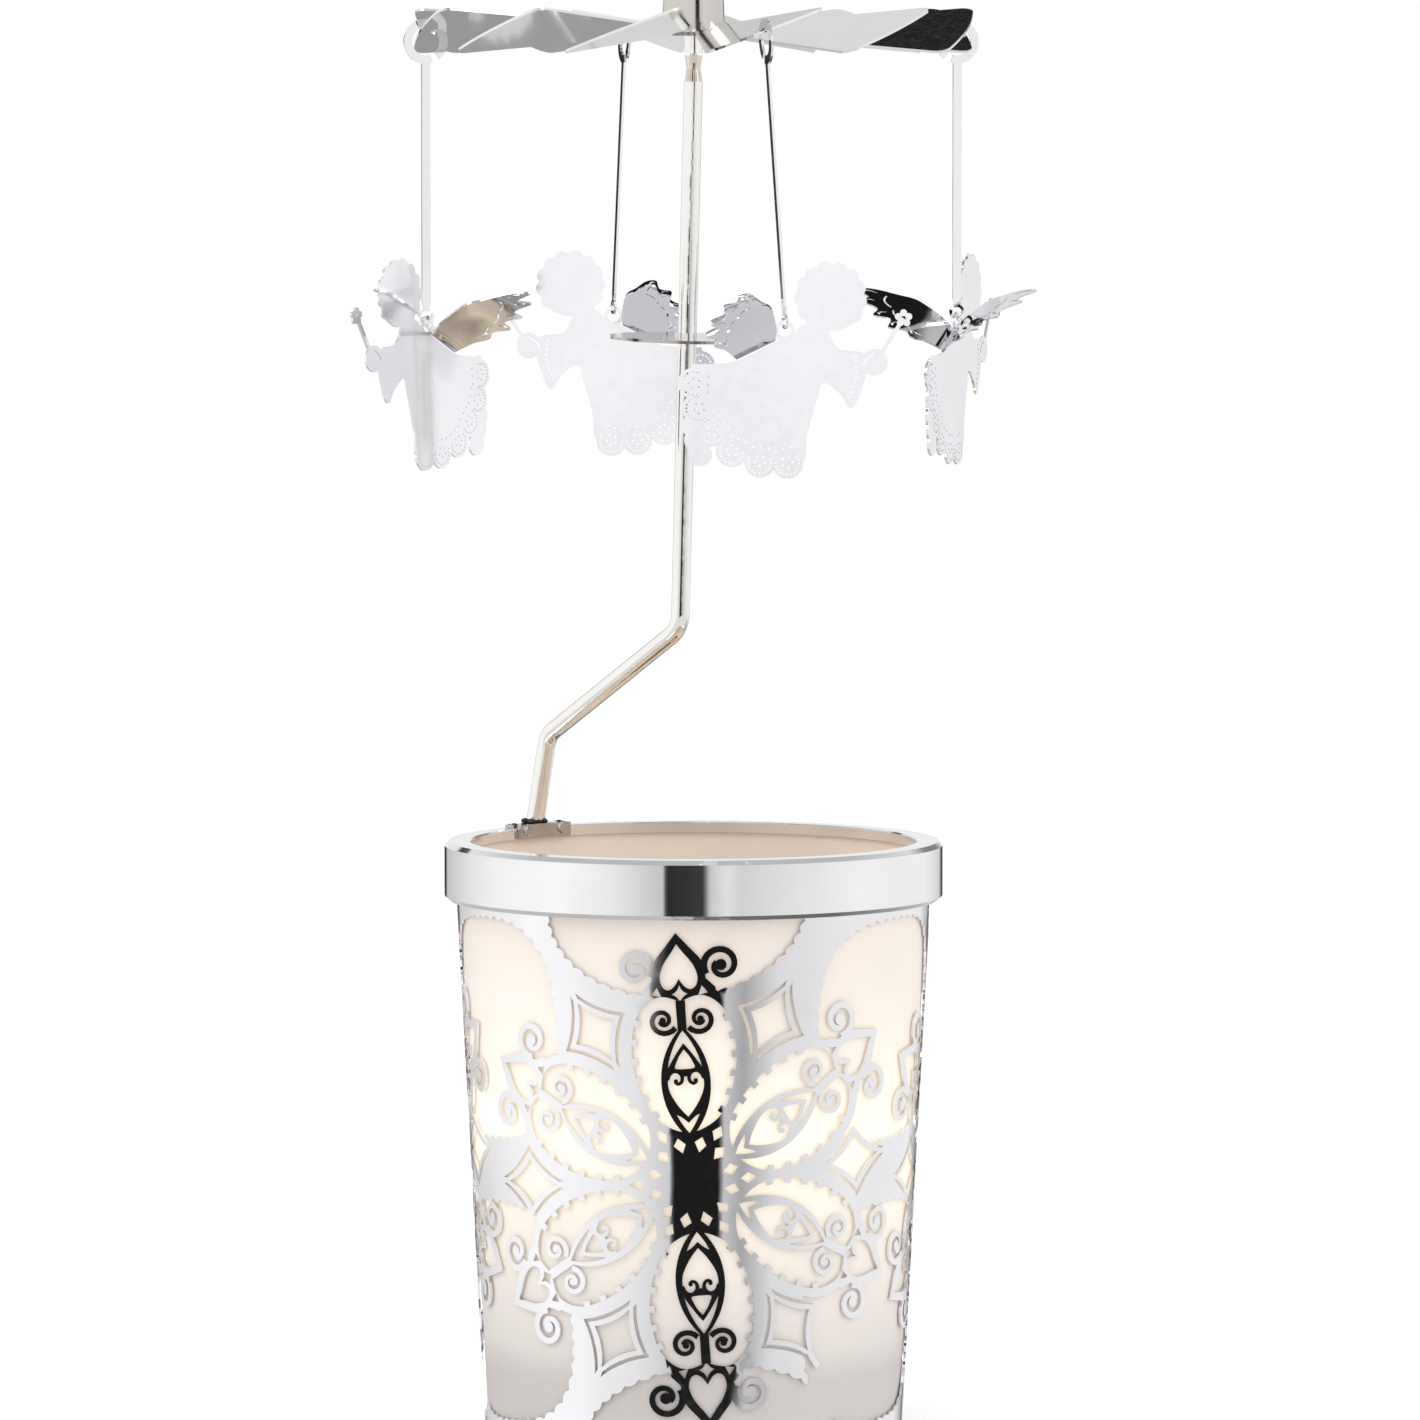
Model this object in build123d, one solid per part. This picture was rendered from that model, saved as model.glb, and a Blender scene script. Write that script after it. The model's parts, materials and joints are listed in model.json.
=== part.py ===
from build123d import *
import os
from math import acos, asin, atan, atan2, cos, degrees, hypot, pi, radians, sin

# Sizes are in millimetres. +X is to the viewer's right, +Y away, +Z up.
# The origin is the centre of the glass's underside.

# Shared
overrun = 1.0
fit_gap = 0.03
seat_gap = 0.3

# Frosted glass
glass_height = 94.1
glass_foot_radius = 33.0
glass_rim_radius = 37.9
glass_floor = 12.0
glass_foot_wall = 3.0
glass_rim_wall = 1.4
glass_foot_bevel = 1.2
glass_floor_bevel = 2.5
glass_rim_bevel = 0.4

# Filigree sleeve, an etched sheet rolled into a cone round the glass
sleeve_clearance = 0.25
sleeve_sheet = 0.35
sleeve_foot = 0.4
sleeve_lap = 3.4
motif_count = 3
lace_cut = 4.6
sleeve_flats = 24
motif_petals = 6
motif_height = 44.0
motif_turn = 4.0
petal_inner = 7.6
petal_outer = 24.2
petal_half_width = 3.85
petal_band = 1.0
frame_point = 8.4
frame_round_at = 21.0
frame_round = 7.7
frame_band = 1.7
neck_half_width = 1.3
diamond_at = 28.0
diamond_half_length = 7.8
diamond_half_width = 5.6
diamond_waist_share = 0.42
spade_base = 29.5
spade_tip = 39.2
spade_half_width = 4.7
spade_heart_base = 30.9
spade_heart_tip = 37.2
spade_heart_half_width = 2.6
window_at = 46.0
window_radius = 18.6
side_window_height = 23.0
side_window_radius = 17.5

# Rim ring, a channel over the edge of the glass
ring_gap = 1.2
ring_height = 9.4
ring_wall = 0.9
ring_web = 0.9
ring_skirt_gap = 0.3
ring_skirt_wall = 0.45
ring_skirt_depth = 1.75
ring_hem = 0.6
ring_bevel = 0.7

# Saddle that joins the rod to the ring
saddle_azimuth = 134.2
saddle_length = 11.5
saddle_sheet = 0.6
saddle_lip = 3.2
saddle_leg = 1.7
weld_radius = 1.0
weld_spread = 3.9
weld_sides = 8
weld_taper = 25.0

# Bent rod and the flat disc on it
rod_radius = 1.5
rod_foot_inset = 1.55
rod_foot_lean = 3.2
rod_low_bend_rise = 15.1
rod_high_bend_reach = 3.1
rod_high_bend_rise = 18.8
rod_low_bend_radius = 4.0
rod_high_bend_radius = 4.5
disc_radius = 12.4
disc_thickness = 0.5
disc_drop = 49.1

# Collar and needle
collar_height = 4.2
collar_radius = 1.4
collar_waist = 1.1
needle_radius = 0.6
needle_seat = 3.2
needle_tip_length = 3.0
needle_tip_radius = 0.08
needle_depth = 2.1

# Fan wheel
blade_count = 12
blade_first_azimuth = 15.0
blade_every = 3
fan_rise = 129.6
fan_sheet = 0.4
blade_root_gap = 0.75
blade_root_lap = 1.0
blade_tip_radius = 44.8
blade_half_angle = 13.3
blade_corner = 2.0
blade_cut = 3.0
blade_tilt = 20.0
hook_hole_radius = 1.25
hook_hole_inset = 3.0

# Hub
stem_radius = 1.5
stem_bore = 0.85
stem_drop = 3.4
stem_rise = 2.4
washer_radius = 3.35
washer_thickness = 0.6
cap_flange_radius = 5.25
cap_flange_height = 1.2
cap_radius = 5.0
cap_top_radius = 4.75
cap_height = 7.9
cap_bevel = 1.0
cap_cavity_radius = 3.9
cap_roof = 2.7
bearing_radius = 1.8
bearing_height = 2.3
bearing_mouth = 1.2
bearing_depth = 1.6
needle_clearance = 0.15

# Strip hangers
hook_radius = 2.9
hook_band = 1.35
hook_open_angle = 51.0
hook_offset = 2.1
hanger_sheet = 0.4
hanger_width = 1.4
hanger_drop = 43.5
hanger_cut = 0.6
eye_inner = 0.8
eye_band = 0.45
eye_gap_start = 118.0
eye_gap_end = 160.0

# Angels, cut from sheet; their outlines are drawn on a grid of this size
angel_count = 4
angel_grid = 10.0
angel_sheet = 0.4
angel_cut = 1.4
eyelet_cut = 0.45
angel_yaws = (-34.0, -15.0, -50.0, -15.0)
hanger_leans = (0.0, 2.5, 0.0, 4.0)
eyelet_hole = 0.95
eyelet_bridge = 0.65
eye_seat_share = 0.85
head_radius_share = 0.52
head_shares = (0.71, 0.51)
curl_radius_share = 0.125
curl_orbit_share = 0.455
curl_count = 11
curl_start = -55.0
curl_step = 27.0
hand_radius_share = 0.21
hand_shares = (1.39, -0.49)
dress_shares = (
    (0.29, 0.09), (0.60, 0.06), (0.70, -0.07), (0.76, -0.20), (0.88, -0.295), (1.18, -0.33),
    (1.29, -0.50), (1.24, -0.77), (1.14, -1.06), (1.06, -1.19), (0.98, -1.18), (0.92, -1.06),
    (0.81, -0.94), (0.68, -0.84), (0.57, -0.83), (0.51, -1.04), (0.42, -1.34), (0.34, -1.66),
    (0.30, -2.03), (0.04, -2.06), (-0.39, -2.04), (-0.83, -1.88), (-1.13, -1.56), (-1.35, -1.21),
    (-1.42, -0.82), (-1.45, -0.54), (-1.32, -0.52), (-0.75, -0.47), (-0.10, -0.15), (0.16, -0.02),
)
scallop_radius_share = 0.245
scallop_shares = ((0.04, -2.06), (-0.39, -2.04), (-0.83, -1.88), (-1.13, -1.56), (-1.35, -1.21), (-1.42, -0.82))
foot_radius_share = 0.19
foot_shares = ((-1.32, -1.92), (-1.38, -1.70), (-1.42, -1.48))
wand_width_share = 0.06
wand_root_shares = (1.50, -0.35)
wand_tip_shares = (1.85, 0.20)
star_points = 5
star_orbit_share = 0.085
star_radius_share = 0.055
wing_sheet = 0.3
wing_cuts = 4
wing_rise_shares = ((0.76, 0.54), (1.56, 0.84))
wing_fold_angle = 25.85
wing_fold_shares = (-0.09, -0.14)
wing_shares = (
    (-0.73, 0.00), (-0.06, 0.00), (0.03, 0.16), (0.09, 0.45), (0.10, 0.65), (0.00, 0.90),
    (-0.10, 1.30), (-0.245, 1.56), (-0.35, 1.25), (-0.55, 1.39), (-0.60, 1.05), (-0.84, 1.05),
    (-0.75, 0.80), (-1.00, 0.76), (-0.85, 0.55), (-0.95, 0.43), (-0.82, 0.25),
)
slit_shares = (((-0.30, 0.50), 0.42), ((-0.52, 0.44), 0.30))
slit_width_share = 0.07
slit_lean = 70.0

# Tealight
cup_radius = 19.0
cup_height = 16.0
cup_wall = 0.3
wax_depth = 13.0
wax_gap = 0.1
wick_radius = 0.6
wick_height = 6.0
sustainer_radius = 6.0
sustainer_sheet = 0.3
sustainer_neck_radius = 1.1
sustainer_neck_height = 3.0

# Worked out from the sizes above
ring_radius = glass_rim_radius + ring_gap + ring_wall
ring_skirt_radius = glass_rim_radius - glass_rim_wall - ring_skirt_gap - ring_skirt_wall
rod_foot_reach = ring_skirt_radius + rod_foot_inset
rod_low_bend_reach = rod_foot_reach - rod_foot_lean
blade_root_reach = cap_flange_radius + blade_root_gap
fan_root_radius = blade_root_reach + blade_root_lap
hook_hole_at = blade_tip_radius - hook_hole_inset
hook_reach = hook_hole_at + hook_offset
ring_top = glass_height + ring_web
ring_low = ring_top - ring_height
sleeve_top = ring_low + sleeve_lap
saddle_top = ring_top + saddle_sheet
rod_low_bend_height = ring_top + rod_low_bend_rise
rod_high_bend_height = rod_low_bend_height + rod_high_bend_rise
fan_mid_height = ring_top + fan_rise
fan_top = fan_mid_height + fan_sheet / 2
fan_low = fan_mid_height - fan_sheet / 2
rod_top = fan_low - stem_drop - seat_gap - collar_height
disc_height = fan_mid_height - disc_drop
needle_top = fan_top + cap_height - needle_depth
needle_low = rod_top + collar_height - needle_seat
bearing_low = needle_top + needle_clearance - bearing_depth
cup_floor = glass_floor + cup_wall
sleeve_half_angle = atan2(glass_rim_radius - glass_foot_radius, glass_height)
hook_inner = hook_radius - hook_band / 2
hook_bridge = blade_tip_radius - hook_hole_at - hook_hole_radius
hook_height = fan_top + seat_gap / 2 - (hook_inner**2 - (hook_bridge / 2)**2)**0.5
eyelet_radius = eyelet_hole + eyelet_bridge


def glass_radius(height):
    """Outer radius of the glass at a height above the table."""
    return glass_foot_radius + (glass_rim_radius - glass_foot_radius) * height / glass_height


def post(radius, low, high):
    """A round bar on the Z axis between two heights."""
    return Pos(0, 0, (low + high) / 2) * Cylinder(radius, high - low)


def ring_solid(inner, outer, low, high):
    """A plain round tube on the Z axis."""
    return post(outer, low, high) - post(inner, low - overrun, high + overrun)


def turned(points):
    """A solid of revolution about Z from (radius, height) points."""
    return revolve(Plane.XZ * make_face(Polyline(*points, close=True)), Axis.Z)


def radial(azimuth, reach, height):
    """The point at an azimuth, a reach from the Z axis and a height."""
    return Vector(reach * cos(radians(azimuth)), reach * sin(radians(azimuth)), height)


def radial_plane(azimuth, reach, height):
    """A plane that holds the Z direction and faces sideways: its x points outwards, its y up."""
    out = radial(azimuth, 1, 0)
    return Plane(origin=radial(azimuth, reach, height), x_dir=out, z_dir=out.cross(Vector(0, 0, 1)))


def make_glass():
    floor_radius = glass_radius(glass_floor) - glass_foot_wall
    body = turned([(0, 0), (glass_foot_radius, 0), (glass_rim_radius, glass_height), (0, glass_height)])
    body = chamfer(body.edges().filter_by(GeomType.CIRCLE).group_by(Axis.Z)[0], glass_foot_bevel)
    rim_radius = glass_rim_radius - glass_rim_wall
    rim_slope = (rim_radius - floor_radius) / (glass_height - glass_floor)
    cavity = turned([(0, glass_floor), (floor_radius, glass_floor),
                     (rim_radius + rim_slope * overrun, glass_height + overrun), (0, glass_height + overrun)])
    cavity = chamfer(cavity.edges().filter_by(GeomType.CIRCLE).group_by(Axis.Z)[0], glass_floor_bevel)
    glass = body - cavity
    return chamfer(glass.edges().filter_by(GeomType.CIRCLE).group_by(Axis.Z)[-1], glass_rim_bevel)


def faceted(sketch, cut):
    """The same flat shape with its curves run in short straight cuts, so thin sheet stays light."""
    faces = []
    for face in sketch.faces():
        outlines = []
        for wire in [face.outer_wire(), *face.inner_wires()]:
            points = []
            for edge in wire.order_edges():
                turns = 1 if edge.geom_type == GeomType.LINE else max(2, round(edge.length / cut))
                points += [edge @ (turn / turns) for turn in range(turns)]
            outlines.append(make_face(Polyline(*points, close=True)))
        faces.append(outlines[0] - outlines[1:])
    return Sketch() + faces


def lens(start, end, half_width):
    """A pointed oval along X between two reaches."""
    middle = (start + end) / 2
    upper = ThreePointArc((start, 0), (middle, half_width), (end, 0))
    lower = ThreePointArc((end, 0), (middle, -half_width), (start, 0))
    return make_face([upper, lower])


def drop(point, centre, radius):
    """A teardrop along X: a pointed end and a round one."""
    away = centre - point
    half = acos(radius / abs(away))
    side = 1 if away > 0 else -1
    touch_x, touch_y = centre - side * radius * cos(half), radius * sin(half)
    upper = Line((point, 0), (touch_x, touch_y))
    back = ThreePointArc((touch_x, touch_y), (centre + side * radius, 0), (touch_x, -touch_y))
    lower = Line((touch_x, -touch_y), (point, 0))
    return make_face([upper, back, lower])


def spade():
    """The pointed ornament beyond each petal, along X, with its heart-shaped hole."""
    shoulder = spade_base + spade_half_width
    body = drop(spade_tip, shoulder, spade_half_width - petal_band / 2)
    heart = drop(spade_heart_tip, spade_heart_base + spade_heart_half_width, spade_heart_half_width)
    return body, heart


def concave_diamond(half_length, half_width):
    """A four-pointed star with hollow sides about the origin."""
    waist_x, waist_y = half_length * diamond_waist_share, half_width * diamond_waist_share
    corners = [(half_length, 0), (0, half_width), (-half_length, 0), (0, -half_width)]
    hollows = [(waist_x, waist_y), (-waist_x, waist_y), (-waist_x, -waist_y), (waist_x, -waist_y)]
    sides = [ThreePointArc(corners[i], hollows[i], corners[(i + 1) % len(corners)]) for i in range(len(corners))]
    return make_face(sides)


def on_sleeve(motif, across, up):
    """A tangent plane on the rolled sheet, at a place on the flat sheet from a motif's centre."""
    apex = glass_radius(motif_height) / sin(sleeve_half_angle)
    sheet_angle = atan(across / (apex + up))
    slant = (apex + up) / cos(sheet_angle)
    azimuth = -90.0 + motif * 360 / motif_count + degrees(sheet_angle / sin(sleeve_half_angle))
    reach = slant * sin(sleeve_half_angle)
    height = motif_height + (slant - apex) * cos(sleeve_half_angle)
    tangent = radial(azimuth + 90, 1, 0)
    normal = radial(azimuth, cos(sleeve_half_angle), -sin(sleeve_half_angle))
    # The motif's own upright leans by the angle between its spot and the motif's centre line.
    return Plane(origin=radial(azimuth, reach, height), x_dir=tangent, z_dir=normal), -degrees(sheet_angle)


def sleeve_cut(motif, angle, reach, sketch):
    """A cutter through the sheet: a sketch along X from the motif's centre, turned to an angle."""
    turn = angle + motif_turn
    plane, lean = on_sleeve(motif, reach * cos(radians(turn)), reach * sin(radians(turn)))
    depth = glass_rim_radius / 2
    cut = Pos(-reach, 0, 0) * faceted(sketch, lace_cut)
    return extrude(plane * Rot(0, 0, turn + lean) * cut, depth, both=True)


def strip_cone():
    """The rolled sheet before it is pierced: a tapered tube of narrow flat strips."""
    rings = []
    for height in (sleeve_foot, sleeve_top):
        for wall in (0, sleeve_sheet):
            reach = (glass_radius(height) + sleeve_clearance + wall) / cos(pi / sleeve_flats)
            rings.append([radial(number * 360 / sleeve_flats, reach, height) for number in range(sleeve_flats)])
    low_in, low_out, high_in, high_out = rings
    faces = []
    for here in range(sleeve_flats):
        after = (here + 1) % sleeve_flats
        for one, other in ((low_in, high_in), (low_out, high_out), (low_in, low_out), (high_in, high_out)):
            faces.append(make_face(Polyline(one[here], one[after], other[after], other[here], close=True)).face())
    return Solid(Shell(faces))


def petal_angle(number):
    return 90 + number * 360 / motif_petals


def make_sleeve():
    sheet = strip_cone()
    petal = lens(petal_inner, petal_outer, petal_half_width)
    petal_hole = lens(petal_inner + 2 * petal_band, petal_outer - 2 * petal_band, petal_half_width - petal_band)
    neck_end = frame_round_at + frame_round + overrun
    neck = Pos((petal_outer + neck_end) / 2, 0) * Rectangle(neck_end - petal_outer + overrun, 2 * neck_half_width)
    frame_hole = drop(frame_point, frame_round_at, frame_round) - petal - neck
    frame_body = drop(frame_point - frame_band, frame_round_at, frame_round + frame_band)
    diamond = Pos(diamond_at, 0) * concave_diamond(diamond_half_length, diamond_half_width)
    spade_body, spade_heart = spade()
    solid_parts = frame_body + spade_body
    top_window = Pos(window_at, 0) * Circle(window_radius) - solid_parts
    cutters = []
    for motif in range(motif_count):
        for number in range(motif_petals):
            angle = petal_angle(number)
            cutters.append(sleeve_cut(motif, angle, frame_round_at, frame_hole))
            cutters.append(sleeve_cut(motif, angle, frame_round_at, petal_hole))
            cutters.append(sleeve_cut(motif, angle, spade_tip, spade_heart))
            cutters.append(sleeve_cut(motif, angle + 180 / motif_petals, diamond_at, diamond))
        cutters += [sleeve_cut(motif, side * 90, window_at, top_window) for side in (-1, 1)]
        azimuth = -90 + (motif + 0.5) * 360 / motif_count
        for side in (-1, 1):
            height = motif_height + side * side_window_height
            plane = Plane(origin=radial(azimuth, glass_radius(height), height),
                          x_dir=radial(azimuth + 90, 1, 0), z_dir=radial(azimuth, 1, 0))
            window = extrude(plane * faceted(Circle(side_window_radius), lace_cut), glass_rim_radius / 2, both=True)
            tilt = side * 90 - side * 360 / motif_petals
            window -= sleeve_cut(motif, tilt, frame_round_at, solid_parts)
            window -= sleeve_cut(motif + 1, 180 - tilt, frame_round_at, solid_parts)
            cutters.append(window)
    return sheet - cutters


def make_ring():
    inside = ring_radius - ring_wall
    skirt_outside = ring_skirt_radius + ring_skirt_wall
    low = ring_low
    under = ring_top - ring_web
    ring = turned([(inside - ring_hem, low), (ring_radius, low), (ring_radius, ring_top),
                   (ring_skirt_radius, ring_top), (ring_skirt_radius, ring_top - ring_skirt_depth),
                   (skirt_outside, ring_top - ring_skirt_depth), (skirt_outside, under),
                   (inside, under), (inside, low + ring_hem), (inside - ring_hem, low + ring_hem)])
    circles = ring.edges().filter_by(GeomType.CIRCLE)
    outer = circles.filter_by(lambda edge: edge.radius > ring_radius - fit_gap)
    ring = chamfer(outer, ring_bevel)
    inner = ring.edges().filter_by(GeomType.CIRCLE).group_by(Axis.Z)[-1].sort_by(lambda edge: edge.radius)[0]
    return chamfer(inner, ring_skirt_wall / 2)


def make_saddle():
    inner = ring_skirt_radius - fit_gap - saddle_sheet
    sweep_angle = degrees(saddle_length / ring_skirt_radius)
    points = [(inner, saddle_top), (inner, saddle_top - saddle_leg - saddle_sheet),
              (inner + saddle_sheet, saddle_top - saddle_leg - saddle_sheet),
              (inner + saddle_sheet, ring_top + fit_gap), (inner + saddle_lip, ring_top + fit_gap),
              (inner + saddle_lip, saddle_top)]
    start = Rot(0, 0, saddle_azimuth - sweep_angle / 2)
    strip = revolve(start * (Plane.XZ * make_face(Polyline(*points, close=True))), Axis.Z, sweep_angle)
    weld_turn = degrees(weld_spread / ring_skirt_radius)
    for side in (-1, 1):
        spot = radial(saddle_azimuth + side * weld_turn, inner, saddle_top - saddle_leg / 2)
        inward = Plane(origin=spot, z_dir=radial(saddle_azimuth + side * weld_turn, -1, 0))
        strip += extrude(inward * RegularPolygon(weld_radius, weld_sides), weld_radius / 2, both=True, taper=weld_taper)
    return strip


def make_rod():
    route = [(rod_foot_reach, ring_top), (rod_low_bend_reach, rod_low_bend_height),
             (rod_high_bend_reach, rod_high_bend_height), (0, rod_top + overrun)]
    plane = radial_plane(saddle_azimuth, 0, 0)
    path = plane * FilletPolyline(*route, radius=[rod_low_bend_radius, rod_high_bend_radius])
    section = Plane(origin=path @ 0, z_dir=path % 0) * Circle(rod_radius)
    rod = sweep(section, path=path)
    reach = 2 * ring_radius
    low_trim = Pos(0, 0, saddle_top + fit_gap - reach / 2) * Box(2 * reach, 2 * reach, reach)
    high_trim = Pos(0, 0, rod_top + reach / 2) * Box(2 * reach, 2 * reach, reach)
    return rod - low_trim - high_trim


def rod_axis_reach(height):
    """How far the upper straight of the rod stands from the Z axis at a height."""
    share = (rod_top + overrun - height) / (rod_top + overrun - rod_high_bend_height)
    return rod_high_bend_reach * share


def make_disc():
    lean = degrees(atan2(rod_high_bend_reach, rod_top + overrun - rod_high_bend_height))
    disc = Cylinder(disc_radius, disc_thickness) - Cylinder(rod_radius + fit_gap, disc_thickness + overrun)
    place = radial_plane(saddle_azimuth, rod_axis_reach(disc_height), disc_height)
    upright = Plane(origin=place.origin, x_dir=place.x_dir, z_dir=(0, 0, 1))
    return upright * Rot(0, -lean, 0) * disc


def make_collar():
    low, high, bore = rod_top, rod_top + collar_height, needle_radius + fit_gap
    return turned([(bore, low), (collar_radius, low), (collar_waist, (low + high) / 2), (collar_radius, high),
                   (bore, high)])


def make_needle():
    shoulder = needle_top - needle_tip_length
    return turned([(0, needle_low), (needle_radius, needle_low), (needle_radius, shoulder),
                   (needle_tip_radius, needle_top), (0, needle_top)])


def blade():
    """One flat blade along X, level, before it is tilted about its own length."""
    half = radians(blade_half_angle)
    root = (blade_root_reach * cos(half), blade_root_reach * sin(half))
    tip = (blade_tip_radius * cos(half), blade_tip_radius * sin(half))
    sides = [Line((root[0], -root[1]), (tip[0], -tip[1])),
             ThreePointArc((tip[0], -tip[1]), (blade_tip_radius, 0), tip), Line(tip, root),
             Line(root, (root[0], -root[1]))]
    sketch = make_face(sides)
    corners = sketch.vertices().sort_by(Axis.X)[-2:]
    return extrude(faceted(fillet(corners, blade_corner), blade_cut), fan_sheet / 2, both=True)


def make_fan():
    plain = blade()
    holed = plain - Pos(hook_hole_at, 0, 0) * Cylinder(hook_hole_radius, fan_sheet + overrun)
    wheel = Cylinder(fan_root_radius, fan_sheet)
    for number in range(blade_count):
        shape = holed if number % blade_every == 0 else plain
        azimuth = blade_first_azimuth + number * 360 / blade_count
        wheel += Rot(0, 0, azimuth) * Rot(blade_tilt, 0, 0) * shape
    wheel -= Cylinder(stem_radius + fit_gap, fan_root_radius)
    return Pos(0, 0, fan_mid_height) * wheel


def make_stem():
    return ring_solid(stem_bore, stem_radius, fan_low - stem_drop, fan_top + stem_rise)


def make_washer():
    return ring_solid(stem_radius + fit_gap, washer_radius, fan_low - washer_thickness, fan_low)


def make_cap():
    top = fan_top + cap_height
    flange_top = fan_top + cap_flange_height
    cap = turned([(0, fan_top), (cap_flange_radius, fan_top), (cap_flange_radius, flange_top),
                  (cap_radius, flange_top), (cap_top_radius, top), (0, top)])
    cap = chamfer(cap.edges().filter_by(GeomType.CIRCLE).group_by(Axis.Z)[-1], cap_bevel)
    cavity_top = top - cap_roof
    cap -= post(cap_cavity_radius, fan_top - overrun, cavity_top)
    return cap - post(bearing_radius + fit_gap, fan_top, bearing_low + bearing_height)


def make_bearing():
    return turned([(bearing_mouth, bearing_low), (bearing_radius, bearing_low),
                   (bearing_radius, bearing_low + bearing_height), (0, bearing_low + bearing_height),
                   (0, bearing_low + bearing_depth)])


def hook_azimuth(number):
    return blade_first_azimuth + number * 360 / angel_count


def hook_plane(number):
    """The plane of a hanger's sheet: origin at its hook's centre, x outwards, y up its own length."""
    upright = radial_plane(hook_azimuth(number), hook_reach, hook_height)
    lean = radians(hanger_leans[number])
    return Plane(origin=upright.origin, x_dir=upright.x_dir, z_dir=upright.z_dir * cos(lean) - Vector(0, 0, sin(lean)))


def c_ring(inner, outer, start, end):
    """A flat ring with the stretch between two angles left open."""
    reach = 2 * outer
    gap = [(0, 0)] + [(reach * cos(radians(a)), reach * sin(radians(a))) for a in (start, (start + end) / 2, end)]
    return Circle(outer) - Circle(inner) - make_face(Polyline(*gap, close=True))


def make_hanger(number):
    outer = hook_radius + hook_band / 2
    open_from = 180 + hook_open_angle
    strip_side = degrees(asin(hanger_width / 2 / hook_inner))
    hook = c_ring(hook_inner, outer, open_from, 270 - strip_side)
    eye_outer = eye_inner + eye_band
    strip_top, strip_low = -hook_inner - hook_band / 2, -hanger_drop + eye_inner + eye_band / 2
    strip = Pos(0, (strip_top + strip_low) / 2) * Rectangle(hanger_width, strip_top - strip_low)
    eye = Pos(0, -hanger_drop) * c_ring(eye_inner, eye_outer, eye_gap_start, eye_gap_end)
    sketch = faceted(hook + strip + eye, hanger_cut)
    return extrude(hook_plane(number) * sketch, hanger_sheet / 2, both=True)


def grid(point):
    """A point of the angel's pattern in millimetres."""
    return point[0] * angel_grid, point[1] * angel_grid


def angel_plane(number):
    """The plane of an angel's sheet: origin at its eyelet, x the way it faces, y up."""
    eye = hook_plane(number).from_local_coords(Vector(0, -hanger_drop, 0))
    bridge_slack = (eye_inner**2 - (eyelet_bridge * eye_seat_share)**2)**0.5
    centre = eye - Vector(0, 0, eyelet_hole + bridge_slack)
    facing = hook_azimuth(number) + 90 + angel_yaws[number]
    ahead = radial(facing, 1, 0)
    return Plane(origin=centre, x_dir=ahead, z_dir=ahead.cross(Vector(0, 0, 1)))


def angel_outline():
    """The flat pattern of one angel: gown, arm, hand with wand, feet, head and eyelet."""
    outline = make_face(Polyline(*[grid(p) for p in dress_shares], close=True))
    outline += [Pos(*grid(p)) * Circle(scallop_radius_share * angel_grid) for p in scallop_shares]
    outline += Pos(*grid(head_shares)) * Circle(head_radius_share * angel_grid)
    for number in range(curl_count):
        angle = radians(curl_start + number * curl_step)
        orbit = curl_orbit_share * angel_grid
        curl = Pos(*grid(head_shares)) * Pos(-orbit * cos(angle), orbit * sin(angle))
        outline += curl * Circle(curl_radius_share * angel_grid)
    outline += Pos(*grid(hand_shares)) * Circle(hand_radius_share * angel_grid)
    outline += [Pos(*grid(p)) * Circle(foot_radius_share * angel_grid) for p in foot_shares]
    (root_x, root_y), (tip_x, tip_y) = grid(wand_root_shares), grid(wand_tip_shares)
    wand = Rectangle(hypot(tip_x - root_x, tip_y - root_y), wand_width_share * angel_grid)
    turn = degrees(atan2(tip_y - root_y, tip_x - root_x))
    outline += Pos((root_x + tip_x) / 2, (root_y + tip_y) / 2) * Rot(0, 0, turn) * wand
    for number in range(star_points):
        petal = Pos(star_orbit_share * angel_grid, 0) * Circle(star_radius_share * angel_grid)
        outline += Pos(tip_x, tip_y) * Rot(0, 0, 90 + number * 360 / star_points) * petal
    eyelet = faceted(Circle(eyelet_radius), eyelet_cut)
    return faceted(outline, angel_cut) + eyelet - faceted(Circle(eyelet_hole), eyelet_cut)


def make_angel(number, outline):
    return extrude(angel_plane(number) * outline, angel_sheet / 2, both=True)


def make_wing_pair():
    """Both wings about the fold, in a frame of its own: x along the fold, y up from it, z sideways."""
    middle, end = (grid(p) for p in wing_rise_shares)
    bow = ThreePointArc((0, 0), middle, end)
    lower = [bow @ (cut / wing_cuts) for cut in range(wing_cuts + 1)]
    upper = [point + Vector(0, wing_sheet) for point in reversed(lower)]
    half_profile = make_face(Polyline(*lower, *upper, close=True))
    profile = half_profile + mirror(half_profile, Plane.YZ)
    reach = 2 * angel_grid
    across = Plane(origin=(0, 0, 0), x_dir=(0, 0, 1), z_dir=(-1, 0, 0))
    sheet = extrude(across * profile, reach, both=True)
    flat = make_face(Polyline(*[grid(p) for p in wing_shares], close=True))
    for (slit_x, slit_y), length in slit_shares:
        slit = Rectangle(length * angel_grid, slit_width_share * angel_grid)
        flat -= Pos(*grid((slit_x, slit_y))) * Rot(0, 0, slit_lean) * slit
    flat += mirror(flat, Plane.XZ)
    from_above = Plane(origin=(0, 0, 0), x_dir=(1, 0, 0), z_dir=(0, -1, 0))
    return sheet & extrude(from_above * flat, reach, both=True)


def make_wings(number, pair):
    fold = grid(wing_fold_shares)
    lift = Pos(*fold) * Rot(0, 0, wing_fold_angle) * Pos(0, fit_gap)
    return angel_plane(number).location * lift * pair


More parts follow.
